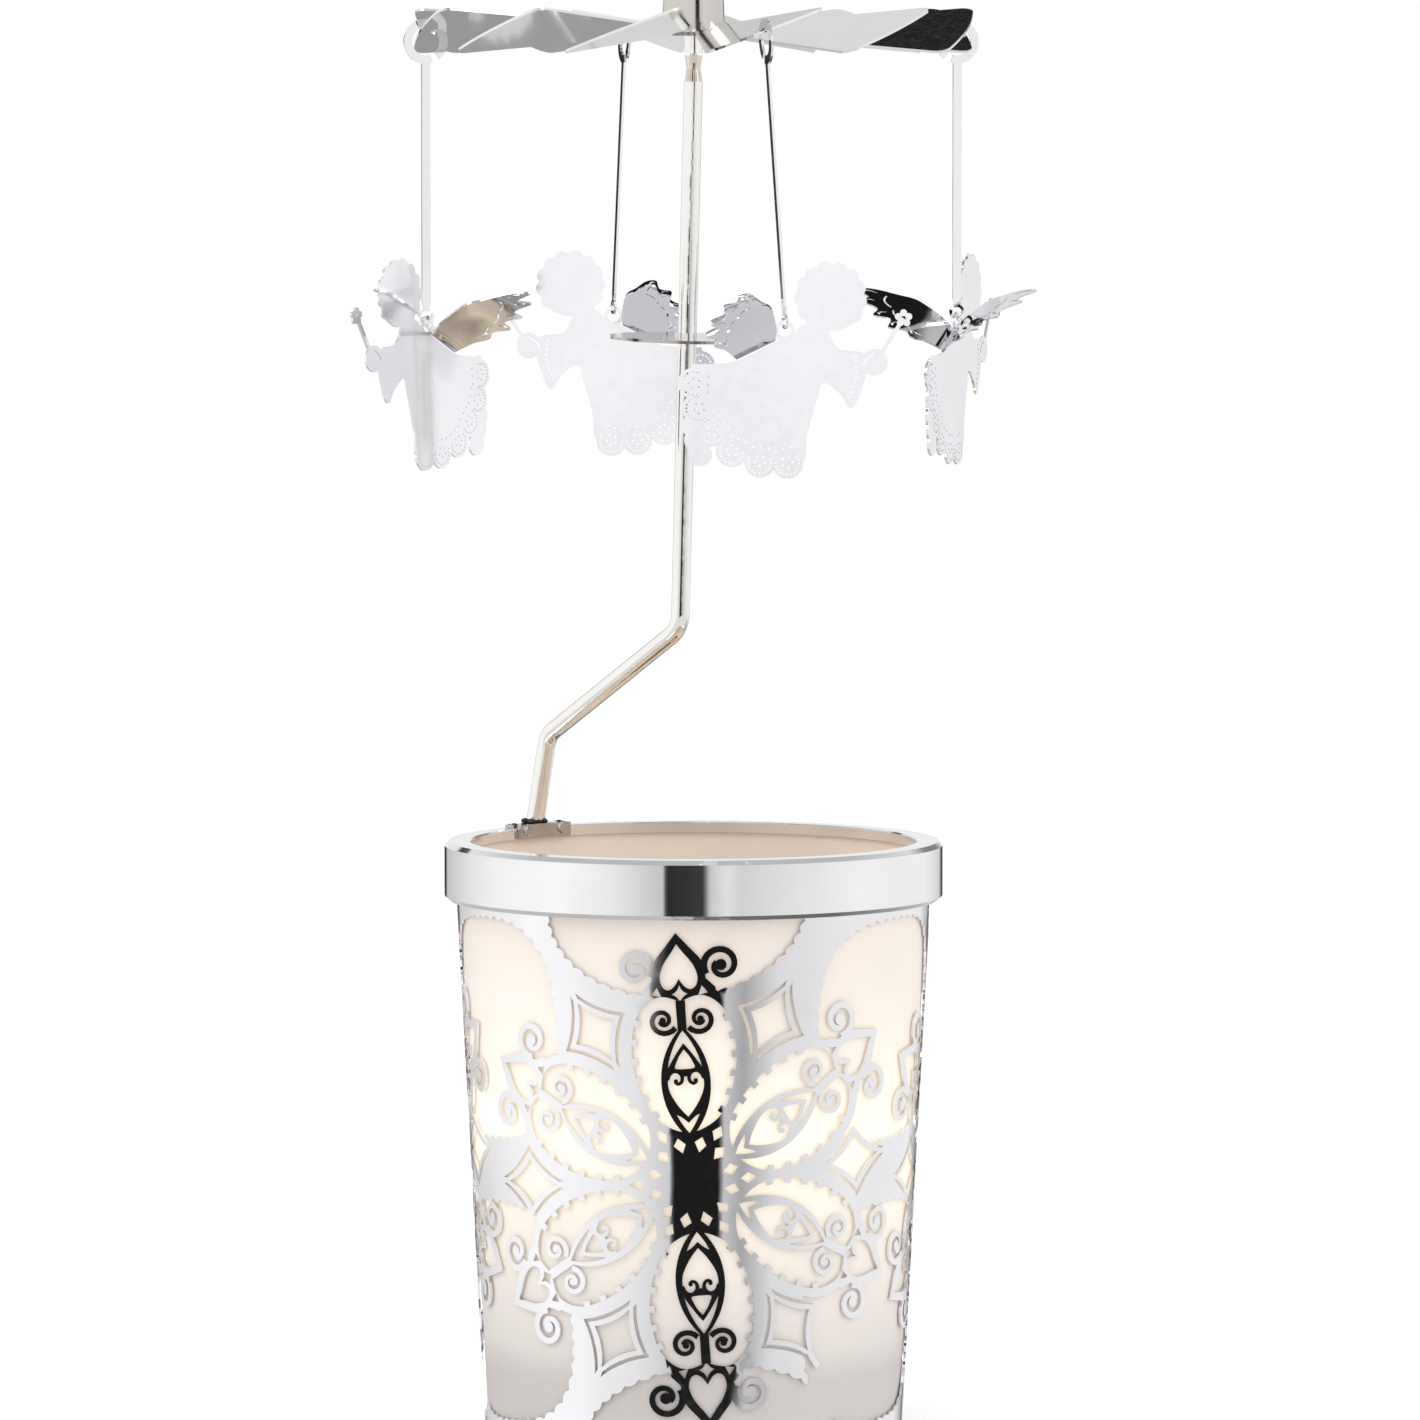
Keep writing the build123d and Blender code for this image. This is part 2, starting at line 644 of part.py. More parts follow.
def make_tealight_cup():
    return post(cup_radius, glass_floor, glass_floor + cup_height) - post(
        cup_radius - cup_wall, cup_floor, glass_floor + cup_height + overrun)


def make_wax():
    low = cup_floor + fit_gap
    wax = post(cup_radius - cup_wall - wax_gap, low, low + wax_depth)
    wax -= post(wick_radius + fit_gap, low - overrun, low + wax_depth + overrun)
    wax -= post(sustainer_radius + wax_gap, low - overrun, low + sustainer_sheet + wax_gap)
    neck_top = low + sustainer_neck_height + wax_gap
    return wax - post(sustainer_neck_radius + wax_gap, low - overrun, neck_top)


def make_sustainer():
    low = cup_floor + fit_gap
    plate = post(sustainer_radius, low, low + sustainer_sheet)
    plate += post(sustainer_neck_radius, low, low + sustainer_neck_height)
    return plate - post(wick_radius + fit_gap, low - overrun, low + sustainer_neck_height + overrun)


def make_wick():
    low = cup_floor + fit_gap
    return post(wick_radius, low, low + wax_depth + wick_height)


def main():
    os.makedirs("parts", exist_ok=True)
    pieces = {
        "glass_cup": make_glass(),
        "lace_sleeve": make_sleeve(),
        "rim_ring": make_ring(),
        "rod_saddle": make_saddle(),
        "stand_rod": make_rod(),
        "rod_disc": make_disc(),
        "pivot_collar": make_collar(),
        "pivot_needle": make_needle(),
        "fan_wheel": make_fan(),
        "hub_stem": make_stem(),
        "hub_washer": make_washer(),
        "hub_cap": make_cap(),
        "bearing_cup": make_bearing(),
        "tealight_cup": make_tealight_cup(),
        "tealight_wax": make_wax(),
        "wick_sustainer": make_sustainer(),
        "wick": make_wick(),
    }
    outline, pair = angel_outline(), make_wing_pair()
    for number in range(angel_count):
        pieces[f"hanger_{number + 1}"] = make_hanger(number)
        pieces[f"angel_{number + 1}"] = make_angel(number, outline)
        pieces[f"wings_{number + 1}"] = make_wings(number, pair)
    for name, shape in pieces.items():
        export_step(shape, f"parts/{name}.step")


main()
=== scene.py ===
import json
import math
import bmesh
import bpy
from mathutils import Matrix, Vector
from mathutils.geometry import delaunay_2d_cdt


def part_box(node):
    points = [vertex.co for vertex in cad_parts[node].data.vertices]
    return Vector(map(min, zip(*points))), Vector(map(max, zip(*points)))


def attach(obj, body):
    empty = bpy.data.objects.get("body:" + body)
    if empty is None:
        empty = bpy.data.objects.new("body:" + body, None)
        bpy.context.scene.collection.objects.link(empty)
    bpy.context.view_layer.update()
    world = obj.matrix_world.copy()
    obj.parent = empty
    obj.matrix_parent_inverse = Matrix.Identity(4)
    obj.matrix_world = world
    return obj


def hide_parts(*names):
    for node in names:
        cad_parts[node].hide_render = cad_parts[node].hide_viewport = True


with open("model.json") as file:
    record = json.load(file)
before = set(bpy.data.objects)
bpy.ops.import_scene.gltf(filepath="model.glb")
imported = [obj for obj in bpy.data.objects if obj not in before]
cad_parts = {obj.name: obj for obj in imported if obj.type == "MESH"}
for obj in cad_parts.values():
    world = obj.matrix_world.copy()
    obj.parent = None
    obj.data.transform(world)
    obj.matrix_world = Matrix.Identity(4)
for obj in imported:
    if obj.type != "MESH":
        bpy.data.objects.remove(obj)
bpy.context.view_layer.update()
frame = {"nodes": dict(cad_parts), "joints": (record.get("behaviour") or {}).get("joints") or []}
nodes = frame["nodes"]
joints = {joint["name"]: joint for joint in frame["joints"]}
print("frame loaded")

# Flat shapes are drawn in millimetres; pieces are in metres.
mm = 0.001
upward = Vector((0, 0, 1))


# Materials
def newMaterial(name):
    made = bpy.data.materials.new(name)
    made.use_nodes = True
    return made, made.node_tree, made.node_tree.nodes["Principled BSDF"]


def objectNoise(tree, scale, detail=3.0, stretch=(1, 1, 1)):
    place = tree.nodes.new("ShaderNodeTexCoord")
    spread = tree.nodes.new("ShaderNodeMapping")
    spread.inputs["Scale"].default_value = stretch
    noise = tree.nodes.new("ShaderNodeTexNoise")
    noise.inputs["Scale"].default_value = scale
    noise.inputs["Detail"].default_value = detail
    tree.links.new(place.outputs["Object"], spread.inputs["Vector"])
    tree.links.new(spread.outputs["Vector"], noise.inputs["Vector"])
    return noise


# How far up a piece a point lies: 0 at the low height, 1 at the high one
def heightShare(tree, low, high):
    place = tree.nodes.new("ShaderNodeTexCoord")
    split = tree.nodes.new("ShaderNodeSeparateXYZ")
    tree.links.new(place.outputs["Object"], split.inputs["Vector"])
    share = tree.nodes.new("ShaderNodeMapRange")
    share.inputs["From Min"].default_value = low
    share.inputs["From Max"].default_value = high
    tree.links.new(split.outputs["Z"], share.inputs["Value"])
    return share.outputs["Result"]


def ramp(tree, source, stops):
    node = tree.nodes.new("ShaderNodeValToRGB")
    points = node.color_ramp.elements
    while len(points) < len(stops):
        points.new(0.5)
    for point, (place, colour) in zip(points, stops):
        point.position = place
        point.color = (*colour, 1)
    tree.links.new(source, node.inputs["Fac"])
    return node


def grey(value):
    return (value, value, value)


def bumpFrom(tree, shader, source, strength, distance):
    bump = tree.nodes.new("ShaderNodeBump")
    bump.inputs["Strength"].default_value = strength
    bump.inputs["Distance"].default_value = distance
    tree.links.new(source, bump.inputs["Height"])
    tree.links.new(bump.outputs["Normal"], shader.inputs["Normal"])
    return bump


def metal(name, base, rough, waviness=0.0, waveScale=60.0, stretch=(1, 1, 1), grain=900.0, uneven=0.4):
    made, tree, shader = newMaterial(name)
    shader.inputs["Metallic"].default_value = 1.0
    smudge = objectNoise(tree, 110.0, 4.0, stretch)
    tint = ramp(tree, smudge.outputs["Fac"], [(0.3, tuple(c * 0.955 for c in base)), (0.7, base)])
    tree.links.new(tint.outputs["Color"], shader.inputs["Base Color"])
    fine = objectNoise(tree, grain, 2.0, stretch)
    polish = ramp(tree, fine.outputs["Fac"], [(0.35, grey(rough * (1 - uneven))), (0.75, grey(rough * (1 + uneven)))])
    tree.links.new(polish.outputs["Color"], shader.inputs["Roughness"])
    if waviness:
        wave = objectNoise(tree, waveScale, 1.5)
        bumpFrom(tree, shader, wave.outputs["Fac"], waviness, 0.001)
    return made


angelSteel = metal("angel_steel", (0.90, 0.90, 0.93), 0.085, 0.03, 55.0, uneven=0.12)
wingSteel = metal("wing_steel", (0.74, 0.74, 0.765), 0.06, 0.12, 120.0)
laceSteel = metal("lace_steel", (0.87, 0.865, 0.89), 0.05, 0.03, 160.0)
fanSteel = metal("fan_steel", (0.80, 0.80, 0.80), 0.08, 0.006, 45.0, uneven=0.25)
ringChrome = metal("ring_chrome", (0.86, 0.855, 0.86), 0.035, 0.015, 35.0)
hubChrome = metal("hub_chrome", (0.60, 0.575, 0.55), 0.13, stretch=(1, 1, 0.2))
rodSteel = metal("rod_steel", (0.88, 0.865, 0.83), 0.06, 0.03, 260.0, (1, 1, 0.08))
hangerSteel = metal("hanger_steel", (0.84, 0.835, 0.85), 0.06, 0.03, 120.0)
needleSteel = metal("needle_steel", (0.66, 0.61, 0.54), 0.12, 0.1, 700.0, (6, 6, 0.4))
# The washer's dark grey base colour is painted shade: it stands for the shadow beneath the hub cap.
washerShadeSteel = metal("washer_steel_painted_shade", (0.30, 0.28, 0.265), 0.2)
collarSteel = metal("collar_steel", (0.76, 0.68, 0.57), 0.1, 0.1, 500.0, (1, 1, 0.1))
discSteel = metal("disc_steel", (0.50, 0.46, 0.43), 0.12, 0.03, 60.0)
saddleSteel = metal("saddle_steel", (0.50, 0.475, 0.455), 0.12, 0.1, 500.0)
bearingBrass = metal("bearing_brass", (0.72, 0.53, 0.24), 0.15)
tinPlate = metal("tin_plate", (0.60, 0.60, 0.59), 0.28)
cupAluminium = metal("cup_aluminium", (0.86, 0.86, 0.87), 0.24, 0.12, 300.0)


def weldMaterial():
    made, tree, shader = newMaterial("weld_bead")
    noise = objectNoise(tree, 1400.0, 5.0)
    tint = ramp(tree, noise.outputs["Fac"], [
        (0.35, (0.012, 0.011, 0.010)), (0.62, (0.07, 0.055, 0.045)), (0.82, (0.30, 0.26, 0.23))])
    tree.links.new(tint.outputs["Color"], shader.inputs["Base Color"])
    shader.inputs["Metallic"].default_value = 0.85
    shader.inputs["Roughness"].default_value = 0.42
    bumpFrom(tree, shader, noise.outputs["Fac"], 0.8, 0.0003)
    return made


# The glass is satin all through: pale at the rim, with a painted amber glow of the candle's light where the flame
# stands, and grey towards its bottom.
glassLook = {
    "low": 0.0, "high": 0.095, "paintedGlowStrength": 0.35, "transmission": 0.25, "roughness": 0.42, "ior": 1.48,
    "body": [(0.0, (0.70, 0.66, 0.635)), (0.115, (0.64, 0.60, 0.575)), (0.17, (0.755, 0.72, 0.695)),
             (0.30, (0.80, 0.765, 0.735)), (0.55, (0.85, 0.805, 0.76)), (0.75, (0.82, 0.785, 0.75)),
             (0.9, (0.80, 0.755, 0.71)), (1.0, (0.93, 0.81, 0.71))],
    "paintedGlow": [(0.10, (0.0, 0.0, 0.0)), (0.20, (0.10, 0.07, 0.05)), (0.42, (0.50, 0.42, 0.28)), (0.52, (0.80, 0.70, 0.48)),
             (0.64, (0.46, 0.37, 0.25)), (0.78, (0.24, 0.17, 0.12)), (1.0, (0.16, 0.105, 0.075))],
}


def glassMaterial():
    made, tree, shader = newMaterial("frosted_glass")
    height = heightShare(tree, glassLook["low"], glassLook["high"])
    body = ramp(tree, height, glassLook["body"])
    paintedGlow = ramp(tree, height, glassLook["paintedGlow"])
    cloud = objectNoise(tree, 26.0, 2.0)
    uneven = ramp(tree, cloud.outputs["Fac"], [(0.3, grey(0.9)), (0.7, grey(1.0))])
    mix = tree.nodes.new("ShaderNodeMix")
    mix.data_type = "RGBA"
    mix.blend_type = "MULTIPLY"
    mix.inputs["Factor"].default_value = 1.0
    tree.links.new(body.outputs["Color"], mix.inputs["A"])
    tree.links.new(uneven.outputs["Color"], mix.inputs["B"])
    tree.links.new(mix.outputs["Result"], shader.inputs["Base Color"])
    # The emission is painted glow: the candle's light through the glass, laid on as a height ramp.
    tree.links.new(paintedGlow.outputs["Color"], shader.inputs["Emission Color"])
    shader.inputs["Emission Strength"].default_value = glassLook["paintedGlowStrength"]
    shader.inputs["Roughness"].default_value = glassLook["roughness"]
    shader.inputs["IOR"].default_value = glassLook["ior"]
    shader.inputs["Transmission Weight"].default_value = glassLook["transmission"]
    frost = objectNoise(tree, 2600.0, 2.0)
    bumpFrom(tree, shader, frost.outputs["Fac"], 0.25, 0.00008)
    return made


def waxMaterial():
    made, tree, shader = newMaterial("candle_wax")
    cloud = objectNoise(tree, 90.0, 3.0)
    tint = ramp(tree, cloud.outputs["Fac"], [(0.3, (0.86, 0.83, 0.76)), (0.7, (0.93, 0.91, 0.86))])
    tree.links.new(tint.outputs["Color"], shader.inputs["Base Color"])
    shader.inputs["Subsurface Weight"].default_value = 0.6
    shader.inputs["Subsurface Scale"].default_value = 0.004
    shader.inputs["Roughness"].default_value = 0.34
    bumpFrom(tree, shader, cloud.outputs["Fac"], 0.3, 0.0004)
    return made


def wickMaterial(low, high):
    made, tree, shader = newMaterial("wick_thread")
    burn = ramp(tree, heightShare(tree, low, high), [
        (0.2, (0.78, 0.72, 0.60)), (0.5, (0.06, 0.05, 0.045)), (1.0, (0.015, 0.013, 0.012))])
    tree.links.new(burn.outputs["Color"], shader.inputs["Base Color"])
    shader.inputs["Roughness"].default_value = 0.85
    place = tree.nodes.new("ShaderNodeTexCoord")
    braid = tree.nodes.new("ShaderNodeTexWave")
    braid.inputs["Scale"].default_value = 900.0
    braid.inputs["Distortion"].default_value = 2.0
    tree.links.new(place.outputs["Object"], braid.inputs["Vector"])
    bumpFrom(tree, shader, braid.outputs["Fac"], 0.6, 0.0001)
    return made


def dress(name, material):
    mesh = nodes[name].data
    mesh.materials.clear()
    mesh.materials.append(material)


print("materials made")


# Flat shapes: closed outlines in millimetres
def circle(x, y, radius, count=32):
    turns = [2 * math.pi * i / count for i in range(count)]
    return [(x + radius * math.cos(turn), y + radius * math.sin(turn)) for turn in turns]


def arcPoints(start, middle, end, count):
    (ax, ay), (bx, by), (cx, cy) = start, middle, end
    det = 2 * (ax * (by - cy) + bx * (cy - ay) + cx * (ay - by))
    a2, b2, c2 = ax * ax + ay * ay, bx * bx + by * by, cx * cx + cy * cy
    ox = (a2 * (by - cy) + b2 * (cy - ay) + c2 * (ay - by)) / det
    oy = (a2 * (cx - bx) + b2 * (ax - cx) + c2 * (bx - ax)) / det
    radius = math.hypot(ax - ox, ay - oy)
    first, mid, last = (math.atan2(y - oy, x - ox) for x, y in (start, middle, end))
    turn = (last - first) % (2 * math.pi)
    if (mid - first) % (2 * math.pi) > turn:
        turn -= 2 * math.pi
    angles = [first + turn * i / count for i in range(count + 1)]
    return [(ox + radius * math.cos(angle), oy + radius * math.sin(angle)) for angle in angles]


def lens(start, end, half, count=14):
    middle = (start + end) / 2
    upper = arcPoints((start, 0), (middle, half), (end, 0), count)
    lower = arcPoints((end, 0), (middle, -half), (start, 0), count)
    return upper[:-1] + lower[:-1]


def drop(point, centre, radius, count=20):
    away = centre - point
    half = math.acos(radius / abs(away))
    side = 1 if away > 0 else -1
    touch = (centre - side * radius * math.cos(half), radius * math.sin(half))
    back = arcPoints(touch, (centre + side * radius, 0), (touch[0], -touch[1]), count)
    return [(point, 0)] + back


def hollowDiamond(x, halfLength, halfWidth, waist=0.42, count=6):
    corners = [(x + halfLength, 0), (x, halfWidth), (x - halfLength, 0), (x, -halfWidth)]
    hollows = [(x + a * halfLength * waist, b * halfWidth * waist) for a, b in ((1, 1), (-1, 1), (-1, -1), (1, -1))]
    points = []
    for i in range(4):
        points += arcPoints(corners[i], hollows[i], corners[(i + 1) % 4], count)[:-1]
    return points


def box(x, y, halfX, halfY, turn=0.0):
    c, s = math.cos(turn), math.sin(turn)
    corners = [(halfX, halfY), (-halfX, halfY), (-halfX, -halfY), (halfX, -halfY)]
    return [(x + along * c - up * s, y + along * s + up * c) for along, up in corners]


def stroke(path, widths):
    left, right = [], []
    last = len(path) - 1
    for i, (x, y) in enumerate(path):
        ax, ay = path[max(i - 1, 0)]
        bx, by = path[min(i + 1, last)]
        length = math.hypot(bx - ax, by - ay)
        nx, ny = -(by - ay) / length, (bx - ax) / length
        half = (widths[0] + (widths[1] - widths[0]) * i / last) / 2
        left.append((x + nx * half, y + ny * half))
        right.append((x - nx * half, y - ny * half))
    return left + right[::-1]


def spiralPath(x, y, outer, inner, start, turn, ease=0.85, count=26):
    path = []
    for i in range(count + 1):
        share = i / count
        radius = outer + (inner - outer) * share ** ease
        angle = start + turn * share
        path.append((x + radius * math.cos(angle), y + radius * math.sin(angle)))
    return path


def flipped(points):
    return [(x, -y) for x, y in points]


def turned(points, angle):
    c, s = math.cos(angle), math.sin(angle)
    return [(x * c - y * s, x * s + y * c) for x, y in points]


# A smooth curve from p1 to p2, bent by the points before and after them
def bentBetween(p0, p1, p2, p3, steps):
    curve = []
    for step in range(steps):
        t = step / steps
        curve.append(tuple(0.5 * ((2 * p1) + (p2 - p0) * t + (2 * p0 - 5 * p1 + 4 * p2 - p3) * t * t
                                  + (3 * p1 - p0 - 3 * p2 + p3) * t ** 3)))
    return curve


def smoothLoop(points, steps=5):
    out = []
    for i in range(len(points)):
        out += bentBetween(*(Vector(points[(i + k) % len(points)]) for k in (-1, 0, 1, 2)), steps)
    return out


def smoothPath(points, steps=3):
    out = []
    last = len(points) - 1
    for i in range(last):
        out += bentBetween(*(Vector(points[min(max(i + k, 0), last)]) for k in (-1, 0, 1, 2)), steps)
    return out + [points[-1]]


# Paints outlines over each other, metal or hole, the later over the earlier, and keeps what ends as metal.
def paint(layers, lines=()):
    points, faces, edges = [], [], []
    for outline, _ in layers:
        area = sum(a[0] * b[1] - b[0] * a[1] for a, b in zip(outline, outline[1:] + outline[:1]))
        ordered = outline if area > 0 else outline[::-1]
        faces.append(list(range(len(points), len(points) + len(ordered))))
        points += [Vector(p) for p in ordered]
    for start, end in lines:
        edges.append((len(points), len(points) + 1))
        points += [Vector(start), Vector(end)]
    verts, _, triangles, _, _, origins = delaunay_2d_cdt(points, edges, faces, 0, 1e-5)
    kept = [tri for tri, origin in zip(triangles, origins) if origin and layers[max(origin)][1]]
    return [tuple(v) for v in verts], kept


# Makes a sheet of some thickness from painted triangles; warp(x, y) gives a middle point and the normal it shows.
def sheetMesh(name, verts, triangles, warp, thickness, curved, onSeam=None):
    bm = bmesh.new()
    flat = [bm.verts.new((x, y, 0)) for x, y in verts]
    for triangle in triangles:
        bm.faces.new([flat[v] for v in triangle])
    bmesh.ops.delete(bm, geom=[vert for vert in bm.verts if not vert.link_faces], context="VERTS")
    seams = {edge for edge in bm.edges if onSeam and edge.is_boundary and onSeam(*(vert.co.xy for vert in edge.verts))}
    raised = bmesh.ops.extrude_face_region(bm, geom=bm.faces[:], edges_exclude=seams)["geom"]
    top = {item for item in raised if isinstance(item, bmesh.types.BMVert)}
    shown = {}
    for vert in bm.verts:
        point, shown[vert] = warp(vert.co.x, vert.co.y)
        side = 1 if vert in top else -1
        vert.co = (point + shown[vert] * side * thickness / 2) * mm
    bm.normal_update()
    normals = []
    for face in bm.faces:
        onTop = [vert in top for vert in face.verts]
        for vert in face.verts:
            if all(onTop):
                normals.append(tuple(shown[vert]))
            elif any(onTop):
                normals.append(tuple(face.normal))
            else:
                normals.append(tuple(-shown[vert]))
    mesh = bpy.data.meshes.new(name)
    bm.to_mesh(mesh)
    bm.free()
    if curved:
        mesh.shade_smooth()
        mesh.normals_split_custom_set(normals)
    return mesh


def piece(name, mesh, material, body, slot, *replaced):
    made = bpy.data.objects.new(name, mesh)
    bpy.context.scene.collection.objects.link(made)
    mesh.materials.append(material)
    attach(made, body)
    if replaced:
        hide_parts(*replaced)
    return made


# Filigree sleeve: one motif's third of the rolled sheet, drawn flat about the motif's centre and wrapped three times.
sleeve = {
    "footRadius": 33.0, "rimRadius": 37.9, "glassHeight": 94.1, "clearance": 0.25, "thickness": 0.35, "motifs": 3,
    "low": 0.4, "high": 89.0, "centre": 44.0, "turn": math.radians(4.0), "strip": 2.4, "footBand": 2.6, "rimBand": 85.8,
    "window": {"up": 22.8, "aside": -1.1, "half": (17.0, 17.9), "scallops": 48, "depth": 0.5, "squareness": 3.0},
}
sleeve["halfAngle"] = math.atan2(sleeve["rimRadius"] - sleeve["footRadius"], sleeve["glassHeight"])
sleeve["taper"] = (sleeve["rimRadius"] - sleeve["footRadius"]) / sleeve["glassHeight"]
sleeve["apex"] = (sleeve["footRadius"] + sleeve["taper"] * sleeve["centre"]) / math.sin(sleeve["halfAngle"])

# The petals' tongues are shaded flatter than the cone: their normals turn back by a share of its curve that fades out
# at their edges.
tongue = {"share": 0.65, "span": (7.5, 41), "leaf": (1.0, 0.9, 4.2), "leafEnd": 23.6, "neck": 5.7, "neckEnd": 29,
          "spade": 4.6, "scroll": (34.2, 6.7, 3.2), "edge": 0.8, "root": 1.5}


# How far the normal turns back towards the petal's middle line, in millimetres
def tongueTurn(x, y):
    reach = math.hypot(x, y)
    around = math.degrees(math.atan2(y, x) - sleeve["turn"]) % 60 - 30
    across = reach * math.sin(math.radians(around))
    along = reach * math.cos(math.radians(around))
    start, end = tongue["span"]
    if not start < along < end:
        return 0.0
    if along < tongue["leafEnd"]:
        least, slope, most = tongue["leaf"]
        half = min(most, least + (along - start) * slope)
    elif along < tongue["neckEnd"]:
        half = tongue["neck"]
    else:
        half = tongue["spade"]
    scrollAlong, scrollAcross, scrollReach = tongue["scroll"]
    fromScroll = math.hypot(along - scrollAlong, abs(across) - scrollAcross) - scrollReach
    beyond = min(abs(across) - half, fromScroll)
    share = min(max(1 - beyond / tongue["edge"], 0), 1) * min((along - start) / tongue["root"], 1)
    middle = math.atan2(y, x) - math.radians(around)
    return tongue["share"] * share * (x - along * math.cos(middle))


def sleeveWarp(motif):
    sine, cosine = math.sin(sleeve["halfAngle"]), math.cos(sleeve["halfAngle"])
    offset = sleeve["clearance"] + sleeve["thickness"] / 2

    def warp(x, y):
        slant = math.hypot(x, sleeve["apex"] + y)
        azimuth = math.radians(-90 + 360 / sleeve["motifs"] * motif) + math.atan2(x, sleeve["apex"] + y) / sine
        out = Vector((math.cos(azimuth), math.sin(azimuth), 0))
        normal = out * cosine - upward * sine
        point = out * (slant * sine) + upward * (sleeve["centre"] + (slant - sleeve["apex"]) * cosine)
        flatter = azimuth - tongueTurn(x, y) / (slant * sine)
        shown = Vector((math.cos(flatter), math.sin(flatter), 0)) * cosine - upward * sine
        return point + normal * offset, shown
    return warp


def aboutApex(points, azimuth):
    turn = -math.radians(azimuth) * math.sin(sleeve["halfAngle"])
    c, s = math.cos(turn), math.sin(turn)
    apex = sleeve["apex"]
    return [(x * c - (y + apex) * s, x * s + (y + apex) * c - apex) for x, y in points]


def scalloped(x, y, halfX, halfY, bumps, depth, squareness=2.0, perBump=6):
    points = []
    for i in range(bumps * perBump):
        angle = 2 * math.pi * i / (bumps * perBump)
        inset = depth * abs(math.sin(math.pi * i / perBump))
        c, s = math.cos(angle), math.sin(angle)
        reach = (abs(c) ** squareness + abs(s) ** squareness) ** (-1 / squareness)
        points.append((x + (halfX - inset) * c * reach, y + (halfY - inset) * s * reach))
    return points


def teethAlong(outline, pitch, along, deep, low, high):
    teeth = []
    run = 0.0
    for (ax, ay), (bx, by) in zip(outline, outline[1:]):
        length = math.hypot(bx - ax, by - ay)
        while run < length:
            x, y = ax + (bx - ax) * run / length, ay + (by - ay) * run / length
            if low < x < high:
                teeth.append(box(x, y, along, deep, math.atan2(by - ay, bx - ax)))
            run += pitch
        run -= length
    return teeth


def grown(outline, margin):
    out = []
    count = len(outline)
    for i, (x, y) in enumerate(outline):
        ax, ay = outline[i - 1]
        bx, by = outline[(i + 1) % count]
        share = margin / math.hypot(bx - ax, by - ay)
        out.append((x - (by - ay) * share, y + (bx - ax) * share))
    return out


def halved(points, steps=3):
    half = smoothPath(points, steps)
    return half + [(x, -y) for x, y in reversed(half) if abs(y) > 1e-6]


# One petal of the motif, its middle line along x. Outlines that cross the middle line are given by their upper half.
petal = {
    "count": 6, "frame": 1.45, "toothPitch": 3.1, "toothHalf": (0.55, 0.8), "toothSpan": (10.0, 27.5),
    "window": [(8.0, 0.0), (8.3, 1.7), (9.3, 3.7), (10.6, 5.2), (12.4, 6.3), (15.0, 7.3), (18.0, 8.0),
               (20.5, 8.2), (23.0, 8.0), (26.0, 7.3), (28.2, 5.9), (29.5, 4.0), (29.6, 2.2), (28.8, 0.0)],
    "leaf": (6.9, 24.9, 3.85), "leafHollow": (7.9, 24.2, 2.85),
    "innerLeaf": [(22.2, 0.0), (20.9, 1.0), (19.2, 2.1), (17.3, 3.1), (14.4, 3.3), (11.5, 2.6), (10.5, 1.1), (9.5, 0.0)],
    "arch": [(21.2, 0.0), (20.2, 0.75), (19.2, 1.25), (18.3, 1.55), (18.1, 0.8), (18.1, 0.0)],
    "heart": [(17.1, 0.0), (17.3, 0.7), (17.6, 1.4), (17.55, 2.1), (17.0, 2.6), (15.8, 2.8), (14.4, 2.55),
              (12.8, 1.75), (11.6, 0.95), (10.5, 0.0)],
    "tie": (17.35, 0.45, 0.9), "stem": [(24.0, -0.7), (29.0, -0.75), (29.0, 0.75), (24.0, 0.7)],
    "curl": [(16.5, 2.9), (17.3, 2.55), (17.8, 1.9), (17.7, 1.1), (17.0, 0.55), (16.1, 0.65), (15.75, 1.25), (16.1, 1.7)],
    "curlBand": (0.72, 0.5), "curlEnd": (16.2, 1.55, 0.36),
    "star": (30.0, 1.45, 1.25, 0.36), "notch": [(29.7, 2.9), (31.2, 3.5), (30.0, 4.4)],
    "spade": (39.7, 33.1, 4.25),
    "spadeFoot": [(29.2, -5.8), (30.8, -5.6), (32.6, -3.9), (32.6, 3.9), (30.8, 5.6), (29.2, 5.8)],
    "spadeHeart": [(37.9, 0.0), (36.4, 1.05), (35.0, 2.1), (33.6, 2.75), (32.4, 2.95), (31.2, 2.6), (30.7, 1.75),
                   (31.2, 0.8), (32.4, 0.0)],
    "nearScroll": {"centre": (25.9, 2.95), "radii": (2.3, 0.5), "start": 238, "turn": -490, "ease": 0.85,
                   "band": (0.9, 0.55), "end": 0.55},
    "farScroll": {"centre": (34.2, 6.7), "radii": (2.7, 0.8), "start": -118, "turn": 425, "ease": 1.7,
                  "band": (1.1, 0.8), "end": 0.92},
}
# Between two petals lies a framed diamond with a tie at each end; small diamonds ring the motif's heart.
between = {"diamondAt": 28.2, "frameHole": (8.1, 6.1), "frame": (7.0, 5.2), "hole": (5.3, 3.9),
           "ties": (20.8, 35.6), "tieHalf": (1.3, 0.5),
           "outerSpark": (8.7, 1.35, 0.85, 0.5), "innerSpark": (6.1, 1.3, 0.85, 0.5), "innerSparks": 12, "innerStart": 15,
           "hem": {"up": 43.2, "half": (21.6, 14.0), "scallops": 48, "depth": 0.5}}


def scroll(shape):
    (x, y), (outer, inner) = shape["centre"], shape["radii"]
    return spiralPath(x, y, outer, inner, math.radians(shape["start"]), math.radians(shape["turn"]), shape["ease"])


